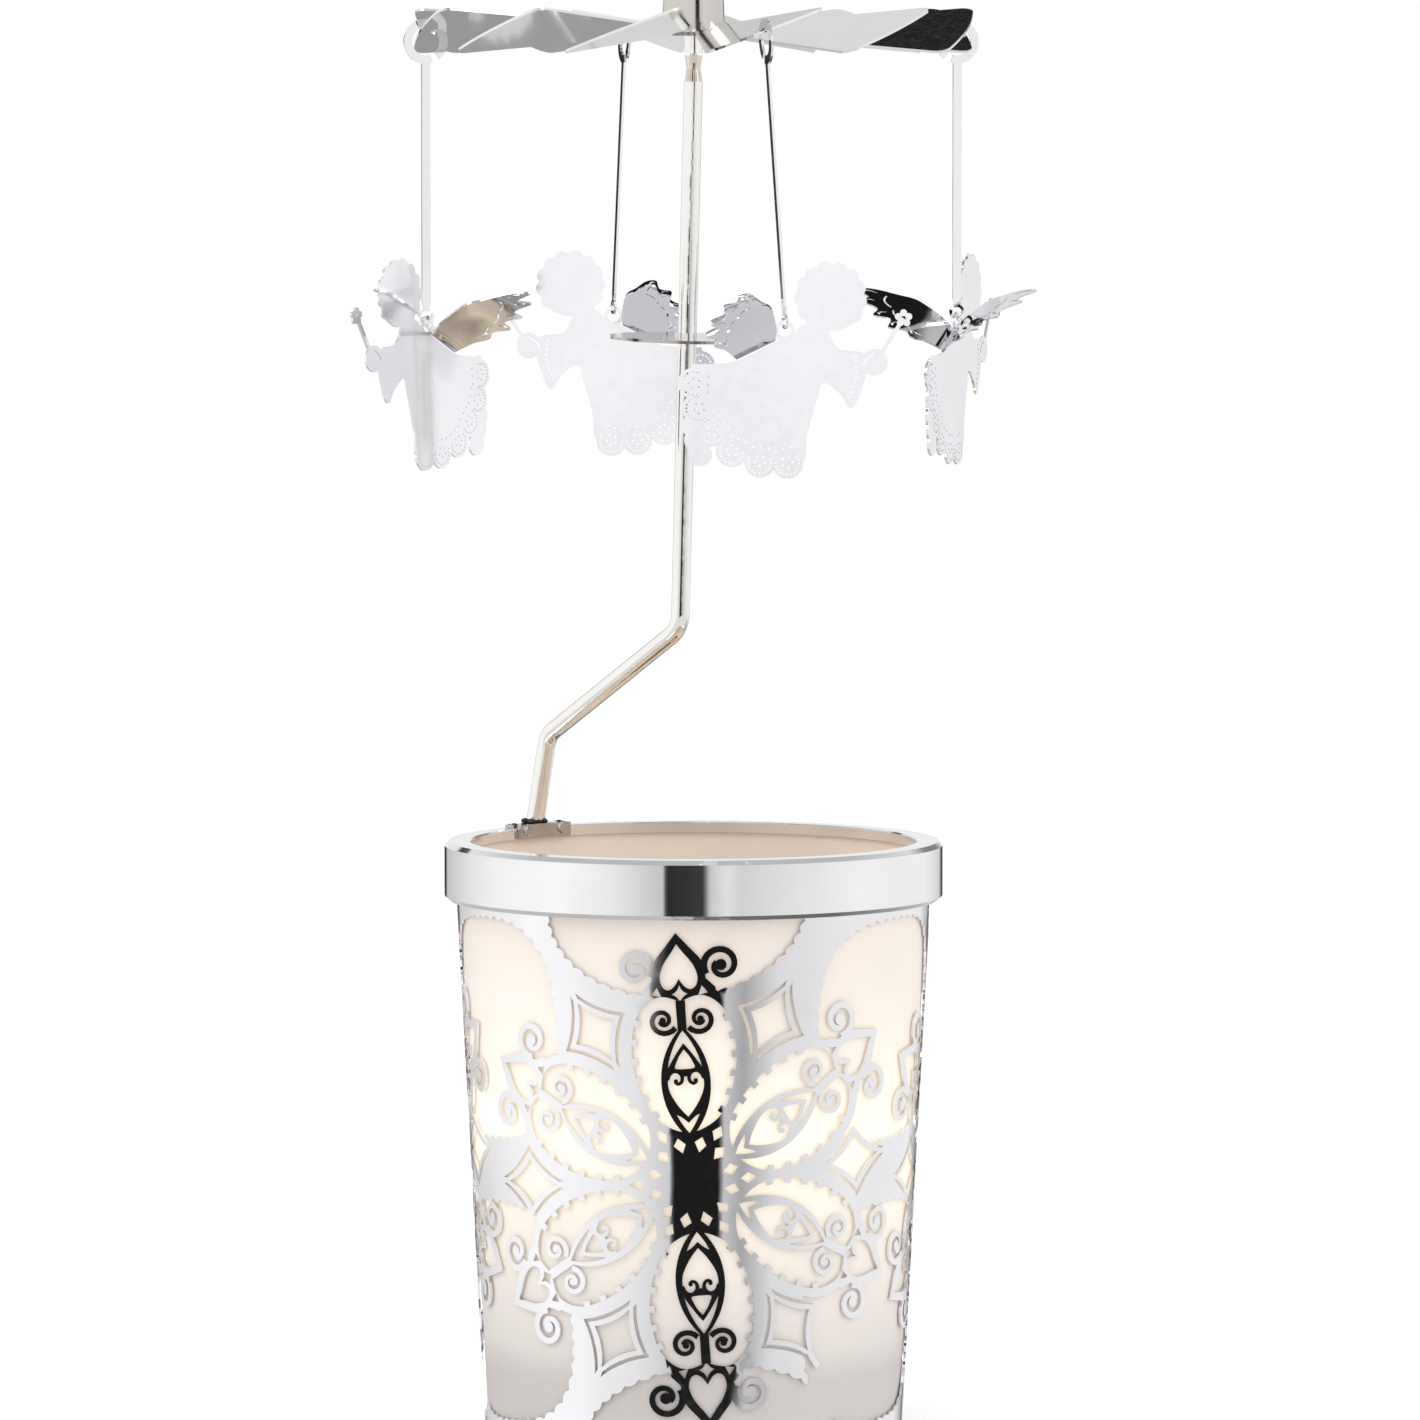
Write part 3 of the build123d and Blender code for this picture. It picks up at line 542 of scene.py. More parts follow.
# Each tier is painted over the one before it; an entry is an outline and whether it is metal.
def laceLayers():
    tiers = {level: [] for level in range(9)}

    def add(angle, tier, points, metal, pair=False):
        tiers[tier].append((turned(points, angle), metal))
        if pair:
            tiers[tier].append((turned(flipped(points), angle), metal))
    window = halved(petal["window"])
    tieAt, tieAlong, tieAcross = petal["tie"]
    for number in range(petal["count"]):
        angle = math.radians(90 + 360 / petal["count"] * number) + sleeve["turn"]
        add(angle, 1, drop(*petal["spade"]), True)
        add(angle, 1, petal["spadeFoot"], True)
        add(angle, 1, grown(window, petal["frame"]), True)
        add(angle, 2, window, False)
        add(angle, 2, hollowDiamond(*petal["star"], 4), False)
        add(angle, 2, halved(petal["spadeHeart"]), False)
        for tooth in teethAlong(window, petal["toothPitch"], *petal["toothHalf"], *petal["toothSpan"]):
            add(angle, 3, tooth, True)
        add(angle, 3, lens(*petal["leaf"], 18), True)
        add(angle, 3, petal["stem"], True)
        add(angle, 4, lens(*petal["leafHollow"], 16), False)
        add(angle, 5, halved(petal["innerLeaf"]), True)
        add(angle, 6, halved(petal["arch"]), False)
        add(angle, 6, halved(petal["heart"]), False)
        add(angle, 7, box(tieAt, 0, tieAlong, tieAcross), True)
        for tier, name, count in ((1, "farScroll", 16), (3, "nearScroll", 12)):
            shape = petal[name]
            add(angle, tier, stroke(scroll(shape), shape["band"]), True, pair=True)
            add(angle, tier, circle(*shape["centre"], shape["end"], count), True, pair=True)
        add(angle, 2, petal["notch"], False, pair=True)
        add(angle, 7, stroke(smoothPath(petal["curl"]), petal["curlBand"]), True, pair=True)
        add(angle, 7, circle(*petal["curlEnd"], 10), True, pair=True)
    for number in range(petal["count"]):
        angle = math.radians(120 + 360 / petal["count"] * number) + sleeve["turn"]
        add(angle, 2, hollowDiamond(between["diamondAt"], *between["frameHole"]), False)
        add(angle, 3, hollowDiamond(between["diamondAt"], *between["frame"]), True)
        for x in between["ties"]:
            add(angle, 3, box(x, 0, *between["tieHalf"]), True)
        add(angle, 4, hollowDiamond(between["diamondAt"], *between["hole"]), False)
        add(angle, 8, hollowDiamond(*between["outerSpark"], 1), False)
    for number in range(between["innerSparks"]):
        angle = math.radians(between["innerStart"] + 360 / between["innerSparks"] * number) + sleeve["turn"]
        add(angle, 8, hollowDiamond(*between["innerSpark"], 1), False)
    hem = between["hem"]
    for side in (-1, 1):
        outline = scalloped(0, side * hem["up"], *hem["half"], hem["scallops"], hem["depth"])
        add(sleeve["turn"], 0, outline, False)
    return tiers


def slantOf(height):
    return sleeve["apex"] + (height - sleeve["centre"]) / math.cos(sleeve["halfAngle"])


# A strip of the cell between two slants, both measured from the cone's apex
def slantBand(inner, outer, spread, steps=8):
    turns = [spread * t / steps for t in range(-steps, steps + 1)]
    band = [(inner * math.sin(turn), inner * math.cos(turn) - sleeve["apex"]) for turn in turns]
    return band + [(outer * math.sin(turn), outer * math.cos(turn) - sleeve["apex"]) for turn in reversed(turns)]


def makeSleeve():
    tiers = laceLayers()
    window = sleeve["window"]
    third = 360 / sleeve["motifs"]
    for side in (-1, 1):
        x, y = aboutApex([(0, side * window["up"])], third / 2)[0]
        outline = scalloped(x + window["aside"], y, *window["half"], window["scallops"], window["depth"],
                            window["squareness"])
        tiers[0].append((outline, False))
    spread = math.radians(third / 2) * math.sin(sleeve["halfAngle"])
    low, high = slantOf(sleeve["low"]), slantOf(sleeve["high"])
    apex = sleeve["apex"]
    layers = [(slantBand(low, high, spread), True)]
    farthest = 45  # nothing of a neighbour's motif beyond this reaches the cell
    for level in sorted(tiers):
        for azimuth in (-third, 0, third):
            for outline, solid in tiers[level]:
                moved = aboutApex(outline, azimuth)
                if azimuth == 0 or any(abs(x) <= farthest for x, _ in moved):
                    layers.append((moved, solid))
    layers.append((slantBand(slantOf(sleeve["rimBand"]), high, spread), True))
    layers.append((slantBand(low, slantOf(sleeve["footBand"]), spread), True))
    halfWidth, lowest, highest = 40, -46, 48
    count = int(halfWidth / sleeve["strip"])
    lines = [((k * sleeve["strip"], lowest), (k * sleeve["strip"], highest)) for k in range(-count, count + 1)]
    verts, triangles = paint(layers, lines)

    def inside(triangle):
        x = sum(verts[v][0] for v in triangle) / 3
        y = sum(verts[v][1] for v in triangle) / 3
        return abs(math.atan2(x, apex + y)) < spread and low < math.hypot(x, apex + y) < high
    triangles = [triangle for triangle in triangles if inside(triangle)]

    def onSeam(*ends):
        return all(abs(abs(math.atan2(x, apex + y)) - spread) < 1e-5 for x, y in ends)
    for motif in range(sleeve["motifs"]):
        mesh = sheetMesh(f"lace_{motif}", verts, triangles, sleeveWarp(motif), sleeve["thickness"], True, onSeam)
        replaced = ["lace_sleeve"] if motif == 0 else []
        piece(f"lace_panel_{motif + 1}", mesh, laceSteel, "cup", "mirror_steel", *replaced)
    print("lace", len(triangles))


makeSleeve()


# Angels, flat sheet about the eyelet: x the way the figure faces, y up
angel = {
    "thickness": 0.4, "eyelet": 0.95, "eyeletOuter": 1.6, "head": (7.1, 5.1), "headRadius": 5.2,
    "curlRadius": 1.32, "curlOrbit": 4.38, "curls": 11, "curlStart": -55.0, "curlStep": 27.0,
    "hand": (13.9, -4.9), "handRadius": 2.1, "scallopRadius": 2.45, "footRadius": 1.9,
    "wand": ((15.0, -3.5), (18.46, 1.94)), "wandWidth": 0.6, "starPoints": 5, "starReach": 0.85, "starTip": 0.55,
    "thumb": [(12.2, -5.4), (12.5, -4.6), (13.2, -4.0), (14.0, -3.5)], "thumbCut": (0.3, 0.2),
    "dress": [
        (2.9, 0.9), (6.0, 0.6), (7.0, -0.7), (7.6, -2.0), (8.8, -2.95), (11.8, -3.3), (12.9, -5.0), (12.4, -7.7),
        (11.4, -10.6), (10.6, -11.9), (9.8, -11.8), (9.2, -10.6), (8.1, -9.4), (6.8, -8.4), (5.7, -8.3), (5.1, -10.4),
        (4.2, -13.4), (3.4, -16.6), (3.0, -20.3), (0.4, -20.6), (-3.9, -20.4), (-8.3, -18.8), (-11.3, -15.6),
        (-13.5, -12.1), (-14.2, -8.2), (-14.5, -5.4), (-13.2, -5.2), (-7.5, -4.7), (-1.0, -1.5), (1.6, -0.2),
    ],
    "scallops": [(0.4, -20.6), (-3.9, -20.4), (-8.3, -18.8), (-11.3, -15.6), (-13.5, -12.1), (-14.2, -8.2)],
    "feet": [(-13.2, -19.2), (-13.8, -17.0), (-14.2, -14.8)],
    "cuff": [(10.8, -4.1), (11.15, -5.6), (11.05, -7.2), (10.6, -8.8), (9.9, -10.3)], "cuffDot": 0.2,
    "middle": (-3.0, -9.0), "edgeDots": {"orbit": 1.82, "step": 0.31, "each": 6, "radius": 0.17},
    "flowerDots": {"orbit": 0.82, "inset": 0.15, "count": 5, "radius": 0.2},
    "rowDots": {"inset": 2.25, "aside": (-1.2, 0.0, 1.2), "radius": 0.18},
}


def angelLayers():
    layers = [(smoothLoop(angel["dress"]), True)]
    layers += [(circle(x, y, angel["scallopRadius"], 40), True) for x, y in angel["scallops"]]
    layers += [(circle(x, y, angel["footRadius"], 32), True) for x, y in angel["feet"]]
    headX, headY = angel["head"]
    layers.append((circle(headX, headY, angel["headRadius"], 64), True))
    for number in range(angel["curls"]):
        turn = math.radians(angel["curlStart"] + number * angel["curlStep"])
        x, y = headX - angel["curlOrbit"] * math.cos(turn), headY + angel["curlOrbit"] * math.sin(turn)
        layers.append((circle(x, y, angel["curlRadius"], 24), True))
    layers.append((circle(*angel["hand"], angel["handRadius"], 36), True))
    layers.append((stroke(angel["wand"], (angel["wandWidth"],) * 2), True))
    tipX, tipY = angel["wand"][1]
    for number in range(angel["starPoints"]):
        turn = math.radians(90 + 360 / angel["starPoints"] * number)
        x, y = tipX + angel["starReach"] * math.cos(turn), tipY + angel["starReach"] * math.sin(turn)
        layers.append((circle(x, y, angel["starTip"], 14), True))
    layers.append((circle(0, 0, angel["eyeletOuter"], 36), True))
    layers.append((circle(0, 0, angel["eyelet"], 30), False))
    layers += [(dot, False) for dot in angelDots()]
    layers.append((stroke(smoothPath(angel["thumb"]), angel["thumbCut"]), False))
    return layers


# Pierced dots: along each scallop's edge, in a flower inside it, in a row above it, and down the cuff
def angelDots():
    dots = []
    edge, flower, row = angel["edgeDots"], angel["flowerDots"], angel["rowDots"]
    midX, midY = angel["middle"]
    for x, y in angel["scallops"]:
        away = math.atan2(y - midY, x - midX)
        c, s = math.cos(away), math.sin(away)
        others = [spot for spot in angel["scallops"] if spot != (x, y)]
        for k in range(-edge["each"], edge["each"] + 1):
            turn = away + k * edge["step"]
            dotX, dotY = x + edge["orbit"] * math.cos(turn), y + edge["orbit"] * math.sin(turn)
            if all(math.hypot(dotX - otherX, dotY - otherY) > edge["orbit"] for otherX, otherY in others):
                dots.append(circle(dotX, dotY, edge["radius"], 8))
        for k in range(flower["count"]):
            turn = away + 2 * math.pi * k / flower["count"]
            dotX = x - flower["inset"] * c + flower["orbit"] * math.cos(turn)
            dotY = y - flower["inset"] * s + flower["orbit"] * math.sin(turn)
            dots.append(circle(dotX, dotY, flower["radius"], 8))
        for aside in row["aside"]:
            dots.append(circle(x - row["inset"] * c + aside * s, y - row["inset"] * s - aside * c, row["radius"], 8))
    dots += [circle(x, y, angel["cuffDot"], 8) for x, y in smoothPath(angel["cuff"], 2)]
    return dots


# Wings, one bowed sheet across the back: x along its fold, s sideways from it
wing = {
    "thickness": 0.3, "bow": ((0.0, 0.0), (7.6, 5.4), (15.6, 8.4)), "fold": (-0.9, -1.4), "lean": math.radians(25.85),
    "seat": 0.03,
    "outline": [
        (-7.3, 0.0), (-0.6, 0.0), (0.3, 1.6), (0.9, 4.5), (1.0, 6.5), (0.0, 9.0), (-1.0, 13.0), (-2.45, 15.6),
        (-3.5, 12.5), (-5.5, 13.9), (-6.0, 10.5), (-8.4, 10.5), (-7.5, 8.0), (-10.0, 7.6), (-8.5, 5.5),
        (-9.5, 4.3), (-8.2, 2.5),
    ],
    "tips": [((-2.45, 15.6), 3.0, 0.55), ((-5.5, 13.9), 1.8, 0.45), ((-8.4, 10.5), 1.7, 0.45), ((-10.0, 7.6), 1.5, 0.42),
             ((-9.5, 4.3), 1.2, 0.4)],
    "root": (-0.5, 5.0), "quillStart": 1.0, "quillBend": 0.25, "quillEnd": 0.14,
    "covert": [(-7.2, 2.8), (-6.3, 5.7), (-4.3, 8.2), (-1.2, 9.9)], "covertSag": 0.32, "covertCut": (0.36, 0.24),
    "spanShare": 0.997, "strip": 1.2,
}


def bowHeight(distance):
    (ax, ay), (bx, by), (cx, cy) = wing["bow"]
    det = 2 * (ax * (by - cy) + bx * (cy - ay) + cx * (ay - by))
    b2, c2 = bx * bx + by * by, cx * cx + cy * cy
    ox = (b2 * (cy - ay) + c2 * (ay - by)) / det
    oy = (b2 * (ax - cx) + c2 * (bx - ax)) / det
    radius = math.hypot(ox, oy)
    height = oy + math.sqrt(radius * radius - (distance - ox) ** 2)
    slope = -(distance - ox) / (height - oy)
    return height, slope


def roundedWing():
    points = [(x, y * wing["spanShare"]) for x, y in wing["outline"]]
    return [points[0]] + smoothPath(points[1:], 4)


def wingLayers():
    outline = roundedWing()
    layers = [(outline, True), (flipped(outline), True)]
    cuts = []
    rootX, rootY = wing["root"]
    for (x, y), length, width in wing["tips"]:
        reach = math.hypot(x - rootX, y - rootY)
        ux, uy = (x - rootX) / reach, (y - rootY) / reach
        path = []
        for t in (0, 0.15, 0.3, 0.5, 0.75, 1):
            back = wing["quillStart"] + length * t
            bend = wing["quillBend"] * math.sin(math.pi * t)
            path.append((x - ux * back + uy * bend, y - uy * back - ux * bend))
        cuts.append(stroke(path, (width, wing["quillEnd"])))
    for (ax, ay), (bx, by) in zip(wing["covert"], wing["covert"][1:]):
        middle = ((ax + bx) / 2 + (ay - by) * wing["covertSag"], (ay + by) / 2 + (bx - ax) * wing["covertSag"])
        cuts.append(stroke(arcPoints((ax, ay), middle, (bx, by), 8)[1:-1], wing["covertCut"]))
    for outline in cuts:
        layers += [(outline, False), (flipped(outline), False)]
    return layers


def makeAngels():
    flat = paint(angelLayers())
    wingStrips = [((-12, k * wing["strip"]), (3, k * wing["strip"])) for k in range(-13, 14)]
    wingFlat = paint(wingLayers(), wingStrips)
    for number in range(1, 5):
        joint = joints[f"angel_{number}_rock"]
        centre = Vector(joint["pos_m"]) / mm
        sideways = Vector(joint["axis"]).normalized()
        ahead = upward.cross(sideways).normalized()

        def flatWarp(x, y):
            return centre + ahead * x + upward * y, sideways
        body = f"angel_{number}_figure"
        mesh = sheetMesh(f"angel_{number}_sheet", *flat, flatWarp, angel["thickness"], False)
        piece(f"angel_{number}_plate", mesh, angelSteel, body, "mirror_steel", f"angel_{number}")
        c, s = math.cos(wing["lean"]), math.sin(wing["lean"])
        along, risen = ahead * c + upward * s, upward * c - ahead * s
        start = centre + ahead * wing["fold"][0] + upward * wing["fold"][1]

        def wingWarp(x, y):
            height, slope = bowHeight(abs(y))
            bank = sideways * math.copysign(1, y)
            normal = risen if abs(y) < 1e-6 else (risen - bank * slope).normalized()
            lift = wing["seat"] + wing["thickness"] / 2 * math.sqrt(1 + slope * slope)
            return start + along * x + sideways * y + risen * (height + lift), -normal
        mesh = sheetMesh(f"wings_{number}_sheet", *wingFlat, wingWarp, wing["thickness"], True)
        piece(f"wings_{number}_pair", mesh, wingSteel, body, "mirror_steel", f"wings_{number}")
    print("angels", len(flat[1]), "wings", len(wingFlat[1]))


makeAngels()


# Strip hangers: an open hook ring, a straight strip and an open lower eye
hanger = {"hookRadius": 2.9, "hookBand": 1.35, "openFrom": 231.0, "width": 1.4, "drop": 43.5, "eyeInner": 0.8,
          "eyeBand": 0.45, "eyeGap": (118.0, 160.0), "thickness": 0.4, "firstAzimuth": 15.0,
          "neckLength": 1.2, "neckHalf": 0.35}


def openRing(x, y, inner, outer, start, end, count=44):
    turns = [math.radians(start + (end - start) * i / count) for i in range(count + 1)]
    ring = [(x + outer * math.cos(turn), y + outer * math.sin(turn)) for turn in turns]
    return ring + [(x + inner * math.cos(turn), y + inner * math.sin(turn)) for turn in reversed(turns)]


def makeHangers():
    inner = hanger["hookRadius"] - hanger["hookBand"] / 2
    outer = hanger["hookRadius"] + hanger["hookBand"] / 2
    side = math.degrees(math.asin(hanger["width"] / 2 / inner))
    hook = openRing(0, 0, inner, outer, 270 - side, 360 + hanger["openFrom"])
    eye = openRing(0, -hanger["drop"], hanger["eyeInner"], hanger["eyeInner"] + hanger["eyeBand"],
                   hanger["eyeGap"][1], 360 + hanger["eyeGap"][0], 30)
    stripTop = -inner - hanger["hookBand"] / 2
    stripLow = -hanger["drop"] + hanger["eyeInner"] + hanger["eyeBand"] / 2
    neckTop = stripLow + hanger["neckLength"]
    left = [(-hanger["width"] / 2, stripTop), (-hanger["width"] / 2, neckTop), (-hanger["neckHalf"], stripLow)]
    strip = left + [(-x, y) for x, y in reversed(left)]
    flat = paint([(hook, True), (strip, True), (eye, True)])
    for number in range(1, 5):
        joint = joints[f"hanger_{number}_swing"]
        centre = Vector(joint["pos_m"]) / mm
        across = Vector(joint["axis"]).normalized()
        azimuth = math.radians(hanger["firstAzimuth"] + 90 * (number - 1))
        out = Vector((math.cos(azimuth), math.sin(azimuth), 0))
        up = across.cross(out)

        def warp(x, y):
            return centre + out * x + up * y, across
        mesh = sheetMesh(f"hanger_{number}_sheet", *flat, warp, hanger["thickness"], False)
        piece(f"hanger_{number}_strip", mesh, hangerSteel, f"hanger_{number}_swing", "mirror_steel", f"hanger_{number}")
    print("hangers", len(flat[1]))


makeHangers()


# Fan wheel: a pressed disc cut into twelve blades, each twisted at its root
fan = {"height": 224.6, "thickness": 0.4, "root": 7.0, "bladeRoot": 6.1, "tip": 44.8, "half": math.radians(13.3),
       "corner": 2.0, "tilt": math.radians(20.0), "twistEnd": 9.5, "count": 12, "first": 15.0, "everyHoled": 3,
       "holeAt": 41.8, "hole": 1.25, "stem": 1.53, "twistLines": (6.6, 7.1, 7.6, 8.1, 8.6, 9.1, 9.6), "lineReach": 12}


def bladeOutline(cornerSteps=6, tipSteps=14):
    half, tip, corner, start = fan["half"], fan["tip"], fan["corner"], fan["bladeRoot"]
    reach = tip - corner
    inset = math.asin(corner / reach)
    centreAngle = inset - half
    cx, cy = reach * math.cos(centreAngle), reach * math.sin(centreAngle)
    lower = [(start * math.cos(half), -start * math.sin(half))]
    for i in range(cornerSteps + 1):
        turn = -half - math.pi / 2 + (math.pi / 2 + inset) * i / cornerSteps
        lower.append((cx + corner * math.cos(turn), cy + corner * math.sin(turn)))
    turns = [centreAngle * (1 - 2 * i / tipSteps) for i in range(1, tipSteps)]
    across = [(tip * math.cos(turn), tip * math.sin(turn)) for turn in turns]
    return lower + across + [(x, -y) for x, y in reversed(lower)]


def makeFan():
    plain = [(bladeOutline(), True)]
    hole = circle(fan["holeAt"], 0, fan["hole"], 28)
    lines = [((x, -fan["lineReach"]), (x, fan["lineReach"])) for x in fan["twistLines"]]
    plainBlade, holedBlade = paint(plain, lines), paint(plain + [(hole, False)], lines)
    for number in range(fan["count"]):
        azimuth = math.radians(fan["first"] + 360 / fan["count"] * number)
        out = Vector((math.cos(azimuth), math.sin(azimuth), 0))
        across = upward.cross(out)

        def warp(x, y):
            share = min(max((x - fan["bladeRoot"]) / (fan["twistEnd"] - fan["bladeRoot"]), 0), 1)
            tilt = fan["tilt"] * share * share * (3 - 2 * share)
            side = across * math.cos(tilt) + upward * math.sin(tilt)
            normal = upward * math.cos(tilt) - across * math.sin(tilt)
            return upward * fan["height"] + out * x + side * y, normal
        blade = plainBlade if number % fan["everyHoled"] else holedBlade
        mesh = sheetMesh(f"blade_{number}", *blade, warp, fan["thickness"], True)
        piece(f"fan_blade_{number + 1}", mesh, fanSteel, "rotor", "mirror_steel")
    disc = paint([(circle(0, 0, fan["root"], 96), True), (circle(0, 0, fan["stem"], 36), False)])

    def level(x, y):
        return Vector((x, y, fan["height"])), upward
    mesh = sheetMesh("fan_root", *disc, level, fan["thickness"], True)
    piece("fan_root_disc", mesh, fanSteel, "rotor", "mirror_steel", "fan_wheel")
    print("fan", fan["count"])


makeFan()


# Tealight: a ribbed foil cup with a rolled rim, and a bent, burnt wick
tealight = {"radius": 19.0, "low": 12.0, "height": 16.0, "wall": 0.3, "ribs": 60, "ribDepth": 0.09, "ribSteps": 8,
            "around": 360}
wick = {"rows": 26, "sides": 14, "bendFrom": 0.72, "bend": (0.35, -0.2), "twist": 5, "strand": 0.12, "strands": 3,
        "tipFrom": 0.93, "tipTaper": 0.55, "girth": 0.82, "lump": 0.08, "lumpTurn": 1.9, "clean": 0.012}


def makeTealight():
    r, low, h, wall = tealight["radius"], tealight["low"], tealight["height"], tealight["wall"]
    top = low + h
    inner = r - wall - 0.1
    heights = [low + 0.9 + (h - 2.4) * i / tealight["ribSteps"] for i in range(1, tealight["ribSteps"] + 1)]
    profile = [(0, low), (r - 1.6, low), (r - 0.5, low + 0.25), (r - 0.12, low + 0.9)]
    profile += [(r - 0.12, height) for height in heights]
    profile += [(r, top - 0.9), (r, top - 0.35), (r - 0.12, top), (inner + 0.05, top - 0.1), (inner, top - 0.5)]
    profile += [(inner, height) for height in reversed(heights)]
    profile += [(inner - 0.2, low + 0.9), (r - 1.9, low + wall), (0, low + wall)]
    bm = bmesh.new()
    line = [bm.verts.new(Vector((radius, 0, height)) * mm) for radius, height in profile]
    edges = [bm.edges.new(pair) for pair in zip(line, line[1:])]
    bmesh.ops.spin(bm, geom=line + edges, cent=(0, 0, 0), axis=upward, angle=2 * math.pi, steps=tealight["around"],
                   use_merge=True)
    bmesh.ops.remove_doubles(bm, verts=bm.verts, dist=1e-7)
    ribLow, ribHigh = low + 0.8, top - 1.0
    for vert in bm.verts:
        radius = math.hypot(vert.co.x, vert.co.y) / mm
        if radius > r - 1 and ribLow < vert.co.z / mm < ribHigh:
            wave = 1 - math.cos(tealight["ribs"] * math.atan2(vert.co.y, vert.co.x))
            share = 1 - tealight["ribDepth"] * wave / radius
            vert.co.xy = vert.co.xy * share
    bmesh.ops.recalc_face_normals(bm, faces=bm.faces)
    mesh = bpy.data.meshes.new("foil_cup")
    bm.to_mesh(mesh)
    bm.free()
    mesh.shade_smooth()
    piece("tealight_foil", mesh, cupAluminium, "tealight", "cup_aluminium", "tealight_cup")


# A round column with a row of points for each unit of height, then bent, twisted and tapered to the thread
def makeWick():
    low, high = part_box("wick")
    radius = (high.x - low.x) / 2
    bm = bmesh.new()
    bmesh.ops.create_circle(bm, cap_ends=True, segments=wick["sides"], radius=1)
    bmesh.ops.rotate(bm, verts=bm.verts, cent=(0, 0, 0), matrix=Matrix.Rotation(math.pi / 2, 3, "Z"))
    end = bm.faces[:][0]
    for _ in range(1, wick["rows"]):
        raised = bmesh.ops.extrude_face_region(bm, geom=[end, *end.edges])["geom"]
        end = next(item for item in raised if isinstance(item, bmesh.types.BMFace))
        bmesh.ops.translate(bm, verts=end.verts[:], vec=upward)
    for vert in bm.verts:
        row = round(vert.co.z)
        share = row / (wick["rows"] - 1)
        bend = max(share - wick["bendFrom"], 0) / (1 - wick["bendFrom"])
        tip = max(share - wick["tipFrom"], 0) / (1 - wick["tipFrom"])
        angle = math.atan2(vert.co.y, vert.co.x) + share * wick["twist"]
        size = radius * (wick["girth"] + wick["lump"] * math.sin(row * wick["lumpTurn"])) * (1 - wick["tipTaper"] * tip)
        size *= 1 + wick["strand"] * math.cos(wick["strands"] * angle)
        bendX, bendY = wick["bend"]
        centre = Vector((bendX * bend * bend * mm, bendY * bend * bend * mm, low.z + (high.z - low.z) * share))
        vert.co = centre + Vector((math.cos(angle), math.sin(angle), 0)) * size
    bmesh.ops.recalc_face_normals(bm, faces=bm.faces)
    mesh = bpy.data.meshes.new("wick_thread")
    bm.to_mesh(mesh)
    bm.free()
    mesh.shade_smooth()
    piece("wick_cord", mesh, wickMaterial(low.z + wick["clean"], high.z), "tealight", "wick_cotton", "wick")


makeTealight()
makeWick()


# Weld beads: small knots of metal at the saddle's two ends and round the rod's foot
weld = {"azimuth": 134.2, "footReach": 37.3, "saddleTop": 95.6, "footBeads": 9, "footOrbit": 1.55, "footRise": 0.3,
        "footSize": (0.62, 0.16), "endBeads": 5, "endStart": 35.75, "endStep": 0.55, "endAside": 5.2, "endSize": 0.5,
        "endDrop": 0.25, "endUneven": (0.35, 0.12), "flatness": 0.7, "length": 1.1}


def makeWelds():
    spots = []
    usual, uneven = weld["footSize"]
    for k in range(weld["footBeads"]):
        turn = 2 * math.pi * k / weld["footBeads"]
        along, across = weld["footReach"] + weld["footOrbit"] * math.cos(turn), weld["footOrbit"] * math.sin(turn)
        spots.append((along, across, weld["saddleTop"] + weld["footRise"], usual + uneven * math.sin(3 * k)))
    asideWobble, heightWobble = weld["endUneven"]
    for side in (-1, 1):
        for k in range(weld["endBeads"]):
            across = side * (weld["endAside"] + asideWobble * math.sin(2.3 * k + side))
            height = weld["saddleTop"] - weld["endDrop"] + heightWobble * math.sin(4 * k)
            spots.append((weld["endStart"] + weld["endStep"] * k, across, height, weld["endSize"]))
    bm = bmesh.new()
    outward = Matrix.Rotation(math.radians(weld["azimuth"]), 4, "Z")
    bead = Matrix.Diagonal((weld["length"], 1.0, weld["flatness"], 1))
    for along, across, height, size in spots:
        place = Matrix.Translation(outward @ Vector((along, across, height)) * mm)
        bmesh.ops.create_icosphere(bm, subdivisions=3, radius=size * mm, matrix=place @ bead)
    mesh = bpy.data.meshes.new("weld_beads")
    bm.to_mesh(mesh)
    bm.free()
    mesh.shade_smooth()
    piece("weld_beads", mesh, weldMaterial(), "stand", "wire_steel")


makeWelds()


# Carried-over nodes
dress("glass_cup", glassMaterial())
dress("rim_ring", ringChrome)
dress("rod_saddle", saddleSteel)
dress("stand_rod", rodSteel)
dress("rod_disc", discSteel)
dress("pivot_collar", collarSteel)
dress("pivot_needle", needleSteel)
dress("hub_stem", rodSteel)
dress("hub_washer", washerShadeSteel)
dress("hub_cap", hubChrome)
dress("bearing_cup", bearingBrass)
dress("tealight_wax", waxMaterial())
dress("wick_sustainer", tinPlate)
print("nodes dressed")


# Floor, world, lights and camera
floorLook = {"reach": 3.0, "drop": 0.0002, "roughness": 0.9, "specular": 0.1, "lift": 0.09}


def makeFloor():
    bm = bmesh.new()
    bmesh.ops.create_grid(bm, x_segments=1, y_segments=1, size=floorLook["reach"])
    mesh = bpy.data.meshes.new("floor")
    bm.to_mesh(mesh)
    bm.free()
    made, tree, shader = newMaterial("pale_floor")
    cloud = objectNoise(tree, 3.0, 2.0)
    tint = ramp(tree, cloud.outputs["Fac"], [(0.3, grey(0.93)), (0.7, grey(0.95))])
    tree.links.new(tint.outputs["Color"], shader.inputs["Base Color"])
    shader.inputs["Roughness"].default_value = floorLook["roughness"]
    shader.inputs["Specular IOR Level"].default_value = floorLook["specular"]
    shader.inputs["Emission Color"].default_value = (1, 1, 1, 1)
    shader.inputs["Emission Strength"].default_value = floorLook["lift"]
    mesh.materials.append(made)
    floor = bpy.data.objects.new("floor", mesh)
    floor.location.z = -floorLook["drop"]
    floor.visible_glossy = False
    bpy.context.scene.collection.objects.link(floor)


